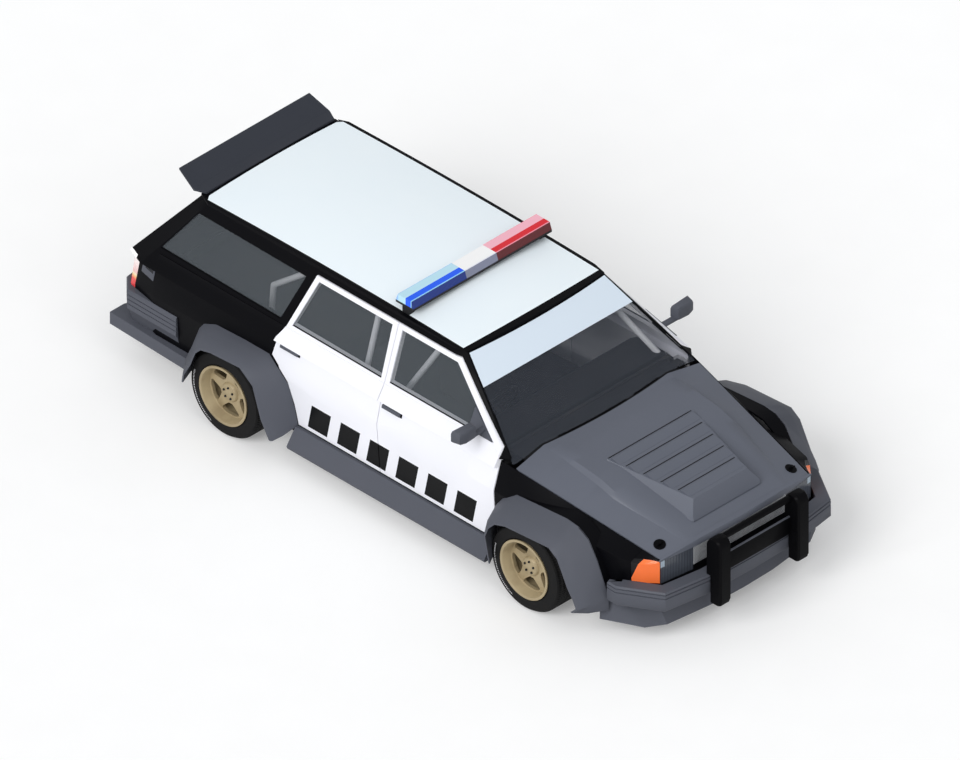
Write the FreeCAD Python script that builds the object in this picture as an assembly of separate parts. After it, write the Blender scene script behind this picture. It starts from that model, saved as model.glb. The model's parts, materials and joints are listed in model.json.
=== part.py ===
"""Police patrol estate car with a racing body kit.

Frame: millimetres, +X forward, +Y to the car's left, +Z up. The origin is on the ground, midway along
the car's length. Pieces of one side are modelled on the right (-Y) and mirrored to the left.
"""
import FreeCAD, Part
import math
import os

from FreeCAD import Placement, Rotation, Vector

os.makedirs("parts", exist_ok=True)
doc = FreeCAD.newDocument("patrol_car")

# ---------------------------------------------------------------- driving dimensions
SIZES = [
    # alias, value, what it is
    ("axle_front", 1352, "front axle, forward of the origin"),
    ("axle_rear", 1345, "rear axle, behind the origin"),
    ("tyre_radius", 308, "tyre radius, and axle height"),
    ("tyre_width", 246, "tyre width"),
    ("wheel_track", 905, "wheel centre plane from the car's middle"),
    ("rim_radius", 205, "rim radius at the tyre's bead"),
    ("kingpin_y", 830, "steering axis from the car's middle"),
    ("shut_gap", 7, "gap round doors and lids"),
    ("door_thick", 80, "door and lower wall thickness"),
    ("pillar_thick", 45, "roof pillar thickness"),
    ("lid_thick", 28, "bonnet thickness"),
    ("glass_thick", 5, "window glass thickness"),
    ("glass_inset", 9, "glass below the body's surface"),
    ("gutter_z", 1325, "height of the roof's edge"),
    ("cage_radius", 20, "roll cage tube radius"),
    ("bar_centre_x", -128, "light bar's middle"),
    ("bar_half", 620, "light bar's half length"),
]
sheet = doc.addObject("Spreadsheet::Sheet", "Sizes")
for row, (alias, value, note) in enumerate(SIZES, start=1):
    sheet.set("A%d" % row, alias)
    sheet.set("B%d" % row, str(value))
    sheet.set("C%d" % row, note)
    sheet.setAlias("B%d" % row, alias)
doc.recompute()


def size(alias):
    return float(sheet.get(alias))


AXLE_F = size("axle_front")
AXLE_R = -size("axle_rear")
TYRE_R = size("tyre_radius")
TRACK = size("wheel_track")
KINGPIN_Y = size("kingpin_y")
GAP = size("shut_gap")
DOOR = size("door_thick")
PILLAR = size("pillar_thick")
LID = size("lid_thick")
GUTTER = size("gutter_z")
SUBPARTS = []


# ---------------------------------------------------------------- helpers
def keep(name, shape):
    """A sub-part whose shape comes from code."""
    obj = doc.addObject("Part::Feature", name)
    obj.Label = name
    obj.Shape = shape
    SUBPARTS.append(obj)
    return shape


def mirrored(shape):
    return shape.mirror(Vector(0, 0, 0), Vector(0, 1, 0))


def pair(shape):
    """The right-hand shape and its left-hand twin, as two solids that don't touch."""
    return Part.makeCompound(shape.Solids + mirrored(shape).Solids)


def face_of(points):
    return Part.Face(Part.makePolygon(points + points[:1]))


def side_prism(points, y_from, y_to, lean=0.0):
    """Prism across the car from an (x, z) outline; lean shifts it forward as it goes inward."""
    face = face_of([Vector(x, y_from, z) for x, z in points])
    return face.extrude(Vector(lean * abs(y_to - y_from), y_to - y_from, 0))


def plan_prism(points, z_from, z_to):
    """Upright prism from an (x, y) outline."""
    return face_of([Vector(x, y, z_from) for x, y in points]).extrude(Vector(0, 0, z_to - z_from))


def front_prism(points, x_from, x_to):
    """Lengthwise prism from a (y, z) outline."""
    return face_of([Vector(x_from, y, z) for y, z in points]).extrude(Vector(x_to - x_from, 0, 0))


def box(x_from, x_to, y_from, y_to, z_from, z_to):
    corner = Vector(x_from, y_from, z_from)
    return Part.makeBox(x_to - x_from, y_to - y_from, z_to - z_from, corner)


def rod(start, end, radius):
    start = Vector(*start)
    run = Vector(*end) - start
    return Part.makeCylinder(radius, run.Length, start, run)


def symmetric(half):
    """Outline points of one side followed by those of the other, from a half outline (a, y)."""
    return half + [(a, -y) for a, y in reversed(half)]


def grown(points, amount):
    """Outline moved outward by amount, for the gap round a door or lid."""
    wire = Part.makePolygon([Vector(x, 0, z) for x, z in points + points[:1]])
    bigger = wire.makeOffset2D(amount, 2)
    return [(v.X, v.Z) for v in bigger.OrderedVertexes]


# ---------------------------------------------------------------- outer form of the body
# Sections of the lower body from tail to nose: place along the car, then the bottom edge, the
# widest line, the waist or bonnet edge, and the crease inboard of it, each as (y, z).
BODY = [
    # x,    low,        waist,      edge,       crease
    (-2420, (700, 300), (745, 560), (720, 800), (480, 812)),
    (-2350, (800, 250), (850, 600), (800, 868), (500, 885)),
    (-2100, (870, 205), (900, 640), (836, 935), (520, 945)),
    (700,   (880, 200), (905, 660), (836, 935), (520, 945)),
    (930,   (880, 200), (904, 660), (846, 876), (560, 893)),
    (1250,  (875, 200), (902, 660), (803, 815), (545, 890)),
    (1560,  (868, 215), (893, 650), (762, 755), (515, 850)),
    (2050,  (790, 250), (806, 615), (697, 661), (440, 735)),
    (2262,  (670, 300), (680, 575), (668, 620), (405, 664)),
]
# Nose outline seen from above, at the front of the body.
NOSE_PLAN = symmetric([(-3000, -1100), (2000, -1100), (2075, -806), (2217, -676), (2250, -410), (2260, 0)])
# Outline of the glasshouse at its foot and at the gutter, as (x, y) of the right side's corners.
FOOT_Z = 870
HOUSE_FOOT = [(1036, -817), (985, -866), (-2200, -862), (-2352, -800)]
HOUSE_TOP = [(427, -615), (322, -636), (-1880, -634), (-1985, -585)]
SCREEN_BOW = (75, 30)
REAR_BOW = (45, 25)
# Roof crown: place along the car, height at the gutter, height at the middle.
ROOF = [(560, 1326, 1345), (0, 1343, 1376), (-900, 1352, 1390), (-2060, 1334, 1352)]


def body_loft(inset=0.0, drop=0.0, rows=BODY):
    wires = []
    for x, *points in rows:
        half = [(y - inset, z - drop) for y, z in points]
        outline = [(-y, z) for y, z in half] + list(reversed(half))
        corners = [Vector(x, y, z) for y, z in outline]
        wires.append(Part.makePolygon(corners + corners[:1]))
    return Part.makeLoft(wires, True, True)


def house_wire(corners, z, inset, bows, forward=0.0):
    (fx, fy), (sx, sy), (tx, ty), (rx, ry) = corners
    fx, sx, tx, rx = fx - inset + forward, sx + forward, tx, rx + inset
    fy, sy, ty, ry = fy + inset, sy + inset, ty + inset, ry + inset
    front = Part.Arc(Vector(fx, fy, z), Vector(fx + bows[0], 0, z), Vector(fx, -fy, z)).toShape()
    rear = Part.Arc(Vector(rx, -ry, z), Vector(rx - bows[1], 0, z), Vector(rx, ry, z)).toShape()
    left = Part.makePolygon([Vector(fx, -fy, z), Vector(sx, -sy, z), Vector(tx, -ty, z), Vector(rx, -ry, z)])
    right = Part.makePolygon([Vector(rx, ry, z), Vector(tx, ty, z), Vector(sx, sy, z), Vector(fx, fy, z)])
    return Part.Wire([front] + left.Edges + [rear] + right.Edges)


def house(inset=0.0, lower=0.0, forward=0.0):
    """The glasshouse, or the same form with every wall moved inward by inset."""
    wires = []
    for share in (-0.1, 1 - lower / (GUTTER - FOOT_Z)):
        corners = [(a + (c - a) * share, b + (d - b) * share) for (a, b), (c, d) in zip(HOUSE_FOOT, HOUSE_TOP)]
        bows = [a + (b - a) * share for a, b in (SCREEN_BOW, REAR_BOW)]
        wires.append(house_wire(corners, FOOT_Z + (GUTTER - FOOT_Z) * share, inset, bows, forward))
    return Part.makeLoft(wires, True, True)


def roof_cap():
    wires = []
    half = 640
    low = GUTTER - 10
    for x, edge_z, middle_z in ROOF:
        arc = Part.Arc(Vector(x, -half, edge_z), Vector(x, 0, middle_z), Vector(x, half, edge_z)).toShape()
        rest = Part.makePolygon([Vector(x, half, edge_z), Vector(x, half, low), Vector(x, -half, low),
                                 Vector(x, -half, edge_z)])
        wires.append(Part.Wire([arc] + rest.Edges))
    cap = Part.makeLoft(wires, True, False)
    plan = Part.Face(house_wire(HOUSE_TOP, GUTTER - 40, 0.0, (SCREEN_BOW[1], REAR_BOW[1])))
    return cap.common(plan.extrude(Vector(0, 0, 150)))


nose = plan_prism(NOSE_PLAN, 0, 1600)
lower_body = body_loft().common(nose)
outer = lower_body.fuse([house(), roof_cap()]).removeSplitter()

CABIN_ROWS = [(x, *points) for x, *points in BODY if x <= 930]
cabin_low = body_loft(DOOR, 0, CABIN_ROWS).common(box(-2335, 860, -1000, 1000, 242, 1000))
cabin_top = house(PILLAR, 30)
cabin = cabin_low.fuse(cabin_top)
bay = body_loft(30, LID + 6).common(box(885, 2150, -1000, 1000, 100, 1000))
shell = outer.cut(cabin).cut(bay)

# ---------------------------------------------------------------- shut lines, as (x, z) outlines
FRONT_DOOR = [(950, 277), (950, 660), (950, 890), (918, 935), (405, 1290), (-143, 1290), (-95, 935),
              (-92, 660), (-90, 277)]
REAR_DOOR = [(-97, 277), (-99, 660), (-102, 935), (-150, 1290), (-880, 1290), (-980, 935), (-1025, 850),
             (-1050, 712), (-985, 668), (-900, 575), (-850, 420), (-825, 277)]
FRONT_WINDOW = [(872, 950), (398, 1262), (-100, 1262), (-60, 950)]
REAR_WINDOW = [(-135, 950), (-188, 1262), (-846, 1262), (-935, 955)]
QUARTER_WINDOW = [(-958, 1252), (-1044, 955), (-2120, 965), (-1925, 1258)]
SWING_LEAN = 0.32
OUT, IN = -1100, -450


def arch(axle_x, radius, y_from, y_to):
    return rod((axle_x, y_from, TYRE_R), (axle_x, y_to, TYRE_R), radius)


# Half width of the body side at rising heights, and how far it stands in from its widest line.
SIDE_SKIN = [(0, 905), (660, 905), (935, 836), (1290, 655), (1400, 600)]


def skin_setback(z):
    for (low, low_y), (high, high_y) in zip(SIDE_SKIN, SIDE_SKIN[1:]):
        if z <= high:
            return 905 - low_y - (high_y - low_y) * (z - low) / (high - low)
    return 905 - SIDE_SKIN[-1][1]


inside = house(PILLAR + 15, 0, 300).fuse(body_loft(DOOR + 6, 0, CABIN_ROWS))


def door_prism(outline):
    """A door's cutter: its edges lean forward inward, as the door's swing needs."""
    leaned = [(x - SWING_LEAN * skin_setback(z), z) for x, z in outline]
    return side_prism(leaned, -905, IN, SWING_LEAN).fuse(side_prism(leaned, -905, OUT)).cut(inside)


front_door_cut = door_prism(FRONT_DOOR)
rear_door_cut = door_prism(REAR_DOOR)
arches = arch(AXLE_R, 372, OUT, -560).fuse(arch(AXLE_F, 402, OUT, -560))
right_half = box(-2600, 2600, -1200, 0, 0, 1600)


def wide_cut(outline):
    return door_prism(grown(outline, GAP))


# Regions of the fixed panels.
SCREEN_BACK = [(900, 886), (900, 900), (300, 1275), (300, 1420), (1300, 1420), (1300, 886)]
roof_front = Part.Arc(Vector(385, -606, 1200), Vector(412, 0, 1200), Vector(385, 606, 1200)).toShape()
roof_rest = Part.makePolygon([Vector(385, 606, 1200), Vector(-1905, 606, 1200), Vector(-1930, 570, 1200),
                              Vector(-1930, -570, 1200), Vector(-1905, -606, 1200), Vector(385, -606, 1200)])
roof_region = Part.Face(Part.Wire([roof_front] + roof_rest.Edges)).extrude(Vector(0, 0, 300))
roof_region = roof_region.common(outer.common(box(-2100, 700, -700, 700, 1280, 1500)))
screen_region = side_prism(SCREEN_BACK, -900, 900)
TAILGATE = [(-582, 1400), (-690, 880), (-548, 842), (-548, 605)]
tail_face = [(-1940, 1420), (-1940, 1300), (-2270, 880), (-2330, 780), (-2330, 605), (-2500, 605), (-2500, 1420)]
tail_outline = [(y, z) for y, z in TAILGATE] + [(-y, z) for y, z in reversed(TAILGATE)]
tail_region = front_prism(tail_outline, -2500, -1900).common(side_prism(tail_face, -900, 900))
tail_wide = [(y - GAP, z) for y, z in TAILGATE]
tail_wide = [tail_wide[0], tail_wide[1], (-548 - GAP, 842 - GAP), (-548 - GAP, 605 - GAP)]
tail_wide = tail_wide + [(-y, z) for y, z in reversed(tail_wide)]
tail_opening = front_prism(tail_wide, -2500, -1900)
tail_hole = [tail_opening.common(box(-2500, -1933, -900, 900, 590, 1500))]
# The tailgate narrows upward, so its opening is eased along the first part of the swing.
TAIL_HINGE = Vector(-1940, 0, 1360)
for angle in (3, 6, 9, 12):
    swung = tail_opening.common(side_prism(tail_face, -900, 900))
    swung.rotate(TAIL_HINGE, Vector(0, 1, 0), angle)
    tail_hole.append(swung)

# ---------------------------------------------------------------- bonnet and its shut line
BONNET = symmetric([(975, -834), (2200, -664), (2232, -420), (2240, 0)])
bonnet_region = plan_prism(BONNET, 560, 1000)
skin_depth = lower_body.copy()
skin_depth.translate(Vector(0, 0, -LID))
screen_clear = house(-GAP)
bonnet = lower_body.common(bonnet_region).cut(skin_depth).cut(screen_clear)
bonnet = bonnet.cut(box(2030, 2300, -700, 700, 500, 632))
bonnet_hole = plan_prism(symmetric([(968, -835 - GAP), (2200, -664 - GAP), (2300, -650), (2300, 0)]), 560, 1000)
bonnet = max(bonnet.Solids, key=lambda solid: solid.Volume)
keep("bonnet", bonnet)

# ---------------------------------------------------------------- louvred extractor on the bonnet
wedge = side_prism([(1460, 700), (1460, 884), (2080, 818), (2120, 747), (2120, 700)], -400, 400)
wedge = wedge.common(plan_prism(symmetric([(1455, -384), (2125, -288)]), 600, 1000))
louvres = wedge.cut(lower_body)
louvres = max(louvres.Solids, key=lambda solid: solid.Volume)
keep("bonnet_louvres", louvres)

# ---------------------------------------------------------------- doors, right, then mirrored
DOORS = [("front", front_door_cut, FRONT_WINDOW), ("rear", rear_door_cut, REAR_WINDOW)]
glass_shell = house(size("glass_inset")).cut(house(size("glass_inset") + size("glass_thick")))
for place, cutter, window in DOORS:
    opening = side_prism(window, OUT, IN)
    door = shell.common(cutter).common(right_half).cut(opening)
    door = door.cut(arches)
    door = max(door.Solids, key=lambda solid: solid.Volume)
    pane = glass_shell.common(opening).common(right_half)
    for side, turn in (("right", lambda s: s), ("left", mirrored)):
        keep("door_%s_%s" % (place, side), turn(door))
        keep("glass_%s_%s" % (place, side), turn(pane))

# ---------------------------------------------------------------- side frames
side_frame = shell.common(box(-2600, 950, -1200, -556, 190, 1500))
side_frame = side_frame.cut([box(-2300, 1000, -790, 0, 0, 260), box(845, 1000, -760, 0, 0, 880)])
side_frame = side_frame.cut([wide_cut(FRONT_DOOR), wide_cut(REAR_DOOR), side_prism(QUARTER_WINDOW, OUT, IN)])
side_frame = side_frame.cut([arches, screen_region, roof_region] + tail_hole)
side_frame = side_frame.cut(box(940, 1000, -1200, 0, 0, 940))
lamp_zone = side_prism([(-2310, 545), (-2290, 842), (-2500, 842), (-2500, 545)], -1000, -562)
lamp_body = outer.common(lamp_zone).cut(side_prism([(-2365, 545), (-2350, 842), (-2200, 842), (-2200, 545)],
                                                    -1000 + 190, -400))
side_frame = side_frame.cut(lamp_zone)
side_frame = max(side_frame.Solids, key=lambda solid: solid.Volume)
keep("side_frame_right", side_frame)
keep("side_frame_left", mirrored(side_frame))
quarter = glass_shell.common(side_prism(QUARTER_WINDOW, OUT, IN)).common(right_half)
keep("quarter_glass", pair(quarter))
lamp = max(lamp_body.Solids, key=lambda solid: solid.Volume)
keep("tail_lamps", pair(lamp))

# ---------------------------------------------------------------- roof and windscreen frame
door_gaps = [wide_cut(FRONT_DOOR), wide_cut(REAR_DOOR)]
roof = roof_region.cut([cabin] + door_gaps + [mirrored(gap) for gap in door_gaps])
roof = max(roof.Solids, key=lambda solid: solid.Volume)
keep("roof_panel", roof)
SCREEN_GLASS = [(-813, 860), (-617, 1286), (617, 1286), (813, 860)]
screen_hole = front_prism(SCREEN_GLASS, 300, 1200)
frame = shell.common(screen_region).cut([roof_region, screen_hole, wide_cut(FRONT_DOOR)])
frame = frame.cut(mirrored(wide_cut(FRONT_DOOR)))
frame = max(frame.Solids, key=lambda solid: solid.Volume)
keep("windscreen_frame", frame)
screen = glass_shell.common(screen_hole).common(box(340, 1300, -900, 900, 800, 1400))
screen = screen.cut([lower_body, wide_cut(FRONT_DOOR), mirrored(wide_cut(FRONT_DOOR))])
keep("windscreen", max(screen.Solids, key=lambda solid: solid.Volume))

# ---------------------------------------------------------------- tailgate
gate = outer.common(tail_region)
gate_window = front_prism([(-520, 1290), (-625, 905), (625, 905), (520, 1290)], -2600, -1900)
gate_glass = house(size("glass_inset")).cut(house(size("glass_inset") + size("glass_thick")))
gate_glass = gate_glass.common(gate_window).common(box(-2600, -1950, -900, 900, 800, 1400))
gate = gate.cut(gate_window)
gate = max(gate.Solids, key=lambda solid: solid.Volume)
keep("tailgate", gate)
keep("tailgate_glass", gate_glass)
spoiler_side = [(-1950, 1345), (-1950, 1361), (-2032, 1364), (-2186, 1436), (-2184, 1424), (-2030, 1350)]
spoiler = side_prism(spoiler_side, -620, 620)
spoiler = spoiler.common(plan_prism(symmetric([(-1940, -566), (-2030, -609), (-2190, -583)]), 1200, 1500))
spoiler = spoiler.cut(outer)
spoiler = max(spoiler.Solids, key=lambda solid: solid.Volume)
keep("roof_spoiler", spoiler)

# ---------------------------------------------------------------- front fenders, nose and lamps
fender = lower_body.cut(bay).common(box(958, 2300, -1200, -400, 190, 1000))
fender = fender.cut([bonnet_hole, arches, box(2070, 2300, -1200, 0, 0, 1000), wide_cut(FRONT_DOOR)])
fender = max(fender.Solids, key=lambda solid: solid.Volume)
keep("front_fenders", pair(fender))
nose_panel = lower_body.cut(bay).common(box(2072, 2300, -900, 900, 240, 1000))
nose_panel = nose_panel.cut(bonnet_hole.common(box(2000, 2300, -900, 900, 626, 1000)))
grille_hole = box(2100, 2300, -410, 410, 485, 625)
lamp_hole = box(2170, 2300, -672, -412, 455, 624)
corner_hole = box(2072, 2216, -900, -560, 460, 624)
corner = lower_body.common(corner_hole).cut(plan_prism([(2000, -740), (2230, -600), (2230, 0), (2000, 0)], 0, 1000))
head = lower_body.common(lamp_hole).cut(corner)
head = head.cut(corner_hole)
nose_panel = nose_panel.cut([grille_hole, lamp_hole, mirrored(lamp_hole), corner, mirrored(corner)])
nose_panel = max(nose_panel.Solids, key=lambda solid: solid.Volume)
keep("nose_panel", nose_panel)
keep("headlamps", pair(max(head.Solids, key=lambda solid: solid.Volume)))
keep("corner_lamps", pair(max(corner.Solids, key=lambda solid: solid.Volume)))
grille = lower_body.common(box(2210, 2245, -410, 410, 485, 625))
keep("grille", grille)

# ---------------------------------------------------------------- bumpers, lip, skirts and fins
BUMPER_PLAN = [(1965, -868), (2150, -858), (2330, -742), (2382, -400), (2390, 0)]
bumper = plan_prism(symmetric(BUMPER_PLAN), 330, 440)
bumper = bumper.cut(lower_body).common(box(1965, 2500, -1000, 1000, 0, 1000))
bumper = bumper.cut(plan_prism(symmetric([(1900, -780), (2200, -640), (2250, 0)]), 0, 1000))
bumper = bumper.cut(rod((2305, -200, 385), (2500, -200, 385), 9))
bumper = max(bumper.Solids, key=lambda solid: solid.Volume)
LIP_PLAN = [(1960, -900), (2160, -870), (2343, -742), (2400, -400), (2410, 0)]
lip = plan_prism(symmetric(LIP_PLAN), 215, 318)
lip = lip.cut(plan_prism(symmetric([(1900, -800), (2220, -660), (2250, 0)]), 0, 1000))
lip = lip.cut(lower_body).cut(box(2380, 2500, -380, 380, 0, 1000))
lip = max(lip.Solids, key=lambda solid: solid.Volume)
keep("front_bumper", Part.makeCompound([bumper, lip]))
SKIRT = [(-862, 265), (-906, 271), (-985, 158), (-978, 138), (-862, 142)]
skirt = front_prism(SKIRT, -822, 948).cut(outer)
keep("side_skirts", pair(skirt))
REAR_PLAN = [(-1890, -908), (-2330, -905), (-2440, -800), (-2500, -500), (-2500, 0)]
rear_bumper = plan_prism(symmetric(REAR_PLAN), 425, 582).cut(outer)
rear_bumper = rear_bumper.cut(box(-2400, -1800, -700, 700, 0, 1000))
rear_bumper = max(rear_bumper.Solids, key=lambda solid: solid.Volume)
FIN_PLAN = [(-1740, -930), (-2500, -905), (-2500, -780), (-2440, -640), (-2440, 0)]
rear_fin = plan_prism(symmetric(FIN_PLAN), 235, 335).cut(outer)
rear_fin = rear_fin.cut(box(-2380, -1700, -820, 820, 0, 1000))
rear_fin = max(rear_fin.Solids, key=lambda solid: solid.Volume)
keep("rear_bumper", Part.makeCompound([rear_bumper, rear_fin]))


# ---------------------------------------------------------------- wheel flares
# Outline where each flare meets the body and where its lip ends, as (x, z) pairs from rear to front.
FRONT_FLARE = [
    # at the body,  at the lip
    ((962, 250), (1050, 225)),
    ((962, 560), (1010, 430)),
    ((1030, 650), (1040, 507)),
    ((1140, 710), (1100, 571)),
    ((1390, 733), (1200, 605)),
    ((1590, 750), (1610, 632)),
    ((1690, 740), (1690, 578)),
    ((1780, 690), (1790, 383)),
    ((1860, 560), (1835, 319)),
    ((1960, 335), (1863, 262)),
    ((1960, 225), (1815, 212)),
]
REAR_FLARE = [
    ((-1740, 300), (-1700, 260)),
    ((-1740, 480), (-1690, 330)),
    ((-1700, 600), (-1630, 440)),
    ((-1660, 654), (-1580, 560)),
    ((-1550, 695), (-1530, 610)),
    ((-1300, 705), (-1435, 633)),
    ((-1070, 705), (-1160, 646)),
    ((-960, 640), (-1040, 557)),
    ((-895, 574), (-995, 430)),
    ((-850, 420), (-960, 323)),
    ((-823, 269), (-888, 195)),
]
FLARE_WALL = 14


def pulled(points, axle_x, amount):
    """Outline points moved toward the axle by amount."""
    moved = []
    for x, z in points:
        reach = math.hypot(x - axle_x, z - TYRE_R)
        share = 1 - amount / reach
        moved.append((axle_x + (x - axle_x) * share, TYRE_R + (z - TYRE_R) * share))
    return moved


def flare(rows, axle_x, y_body=-880, y_lip=-1057):
    def solid(amount, below, near, far):
        wires = []
        for y, column in ((near, 0), (far, 1)):
            points = pulled([row[column] for row in rows], axle_x, amount)
            points = [(points[0][0], points[0][1] - below)] + points + [(points[-1][0], points[-1][1] - below)]
            corners = [Vector(x, y, z) for x, z in points]
            wires.append(Part.makePolygon(corners + corners[:1]))
        return Part.makeLoft(wires, True, True)
    outside = solid(0, 1, y_body, y_lip)
    inside = solid(FLARE_WALL, 200, y_body, y_lip)
    ends = box(axle_x - 900, axle_x + 900, y_lip, y_body, -400, 1000)
    wall = outside.common(ends).cut(inside).cut(lower_body)
    return max(wall.Solids, key=lambda solid: solid.Volume)


keep("wheel_flares", Part.makeCompound([pair(flare(FRONT_FLARE, AXLE_F)), pair(flare(REAR_FLARE, AXLE_R))]))

# ---------------------------------------------------------------- floor, bulkhead, engine bay
FLOOR_TOP = 242
floor_side = [(858, 200), (858, FLOOR_TOP), (-880, FLOOR_TOP), (-980, 520), (-2332, 520), (-2332, 490),
              (-1010, 490), (-905, 200)]
floor = side_prism(floor_side, -790, 790)
tunnel = front_prism([(-170, 200), (-120, 420), (120, 420), (170, 200)], -900, 858)
tunnel_hollow = front_prism([(-140, 190), (-98, 392), (98, 392), (140, 190)], -1000, 900)
floor = floor.fuse(tunnel).cut(tunnel_hollow)
wheelhouse = arch(AXLE_R, 395, -760, -600).cut(arch(AXLE_R, 372, -760, -620))
wheelhouse = wheelhouse.common(box(-2000, -800, -900, 0, 490, 900))
floor = floor.cut([arches, mirrored(arches)])
tail_wall = shell.common(box(-2430, -2325, -548, 548, 242, 590))
floor = floor.fuse([wheelhouse, mirrored(wheelhouse), tail_wall])
keep("floorpan", floor.cut([keep_out.Shape for keep_out in SUBPARTS if keep_out.Label.startswith("side_frame")]))
firewall = box(860, 885, -750, 750, 200, 850).cut(tunnel_hollow)
inner_wing = box(885, 2060, -575, -550, 330, 590).fuse(box(885, 945, -810, -735, 205, 800))
bulkhead = firewall.fuse([inner_wing, mirrored(inner_wing)])
keep("bulkhead", bulkhead)
keep("engine", box(1150, 1700, -170, 170, 240, 720))
gearbox = box(560, 1140, -85, 85, 235, 380)
shaft = rod((560, 0, 300), (AXLE_R + 60, 0, TYRE_R), 32)
axle = rod((AXLE_R, -790, TYRE_R), (AXLE_R, 790, TYRE_R), 38)
diff = Part.makeSphere(105, Vector(AXLE_R, 0, TYRE_R))
keep("driveline", gearbox.fuse(shaft).cut(diff))
discs = [rod((AXLE_R, s * 790, TYRE_R), (AXLE_R, s * 812, TYRE_R), 140) for s in (-1, 1)]
stubs = [rod((AXLE_R, s * 812, TYRE_R), (AXLE_R, s * 905, TYRE_R), 30) for s in (-1, 1)]
keep("rear_axle", axle.fuse([diff] + discs + stubs))
cross = box(AXLE_F - 45, AXLE_F + 45, -330, 330, 190, 235)
arm = plan_prism([(AXLE_F - 120, -300), (AXLE_F + 120, -300), (AXLE_F + 30, -722), (AXLE_F - 30, -722)], 195, 220)
keep("front_crossmember", cross.fuse([arm, mirrored(arm)]))

# ---------------------------------------------------------------- knuckles
knuckle = box(AXLE_F - 35, AXLE_F + 35, -785, -745, 190, 430)
knuckle = knuckle.fuse([rod((AXLE_F, -785, TYRE_R), (AXLE_F, -812, TYRE_R), 140),
                        rod((AXLE_F, -812, TYRE_R), (AXLE_F, -905, TYRE_R), 30)])
keep("knuckle_right", knuckle)
keep("knuckle_left", mirrored(knuckle))

# ---------------------------------------------------------------- wheels
tyre_half = size("tyre_width") / 2
tyre_section = [(200, -105), (222, -123), (290, -118), (308, -92), (308, 92), (290, 118), (222, 123), (200, 105)]


def turned(section):
    """A ring about the Y axis from (radius, y) points."""
    return face_of([Vector(r, y, 0) for r, y in section]).revolve(Vector(), Vector(0, 1, 0), 360)


tyre = turned(tyre_section)
barrel = turned([(180, -105), (200, -105), (200, 105), (180, 105)])
hub = turned([(30.06, -20), (75, -20), (75, 20), (30.06, 20)])
spoke = box(60, 185, -22, 22, -22, 22)
rim = barrel.fuse(hub)
for index in range(5):
    arm_shape = spoke.copy()
    arm_shape.rotate(Vector(), Vector(0, 1, 0), 72 * index)
    rim = rim.fuse(arm_shape)
for axle_name, axle_x in (("front", AXLE_F), ("rear", AXLE_R)):
    for side, sign in (("right", -1), ("left", 1)):
        for piece, shape in (("tyre", tyre), ("rim", rim)):
            placed = shape.copy()
            placed.rotate(Vector(), Vector(0, 0, 1), 0 if sign < 0 else 180)
            placed.translate(Vector(axle_x, sign * TRACK, TYRE_R))
            keep("%s_%s_%s" % (piece, axle_name, side), placed)

# ---------------------------------------------------------------- push bar
upright = side_prism([(2395, 225), (2395, 740), (2420, 755), (2475, 755), (2500, 735), (2500, 240), (2480, 222)],
                     -372, -318)
plate = box(2400, 2415, -345, 345, 450, 600)
tube = rod((2440, -345, 700), (2440, 345, 700), 22)
push_bar = plate.fuse([upright, mirrored(upright), tube])
keep("push_bar", push_bar)

# ---------------------------------------------------------------- light bar
bar_x = size("bar_centre_x")
bar_half = size("bar_half")
base = box(bar_x - 80, bar_x + 80, -bar_half, bar_half, 1408, 1425)
foot = box(bar_x - 30, bar_x + 30, -610, -560, 1300, 1410).cut(outer)
keep("light_bar_base", base.fuse([foot, mirrored(foot)]))
lens_end = [(bar_x - 79, 1425), (bar_x - 60, 1476), (bar_x + 60, 1476), (bar_x + 79, 1425)]
LENSES = [(-bar_half, -141), (-140, 140), (141, bar_half)]
keep("light_bar_lenses", Part.makeCompound([side_prism(lens_end, y_from, y_to) for y_from, y_to in LENSES]))

# ---------------------------------------------------------------- mirrors
head = box(665, 725, -1100, -925, 955, 1050)
sail = box(690, 715, -930, -845, 955, 985)
mirror = head.fuse(sail).cut(outer)
mirror = max(mirror.Solids, key=lambda solid: solid.Volume)
keep("mirror_right", mirror)
keep("mirror_left", mirrored(mirror))

# ---------------------------------------------------------------- roll cage
CAGE = [
    # start,             end, both on the right
    ((810, -690, 242), (815, -705, 860)),
    ((815, -705, 860), (340, -565, 1250)),
    ((340, -565, 1250), (-950, -568, 1265)),
    ((-390, -670, 242), (-390, -690, 860)),
    ((-390, -690, 860), (-390, -568, 1262)),
    ((-950, -568, 1265), (-1360, -560, 930)),
    ((-1360, -560, 930), (-1400, -560, 520)),
    ((180, -566, 1252), (-390, -670, 300)),
]
pieces = []
for start, end in CAGE:
    pieces.append(rod(start, end, size("cage_radius")))
    pieces.append(Part.makeSphere(size("cage_radius"), Vector(*end)))
pieces = pieces + [mirrored(piece) for piece in pieces]
pieces.append(rod((-390, -568, 1262), (-390, 568, 1262), size("cage_radius")))
pieces.append(rod((340, -565, 1250), (340, 565, 1250), size("cage_radius")))
cage = pieces[0].fuse(pieces[1:])
cage = cage.cut(box(-3000, 3000, -900, 900, 0, FLOOR_TOP)).cut([floor, side_frame, mirrored(side_frame)])
keep("roll_cage", cage)

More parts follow.
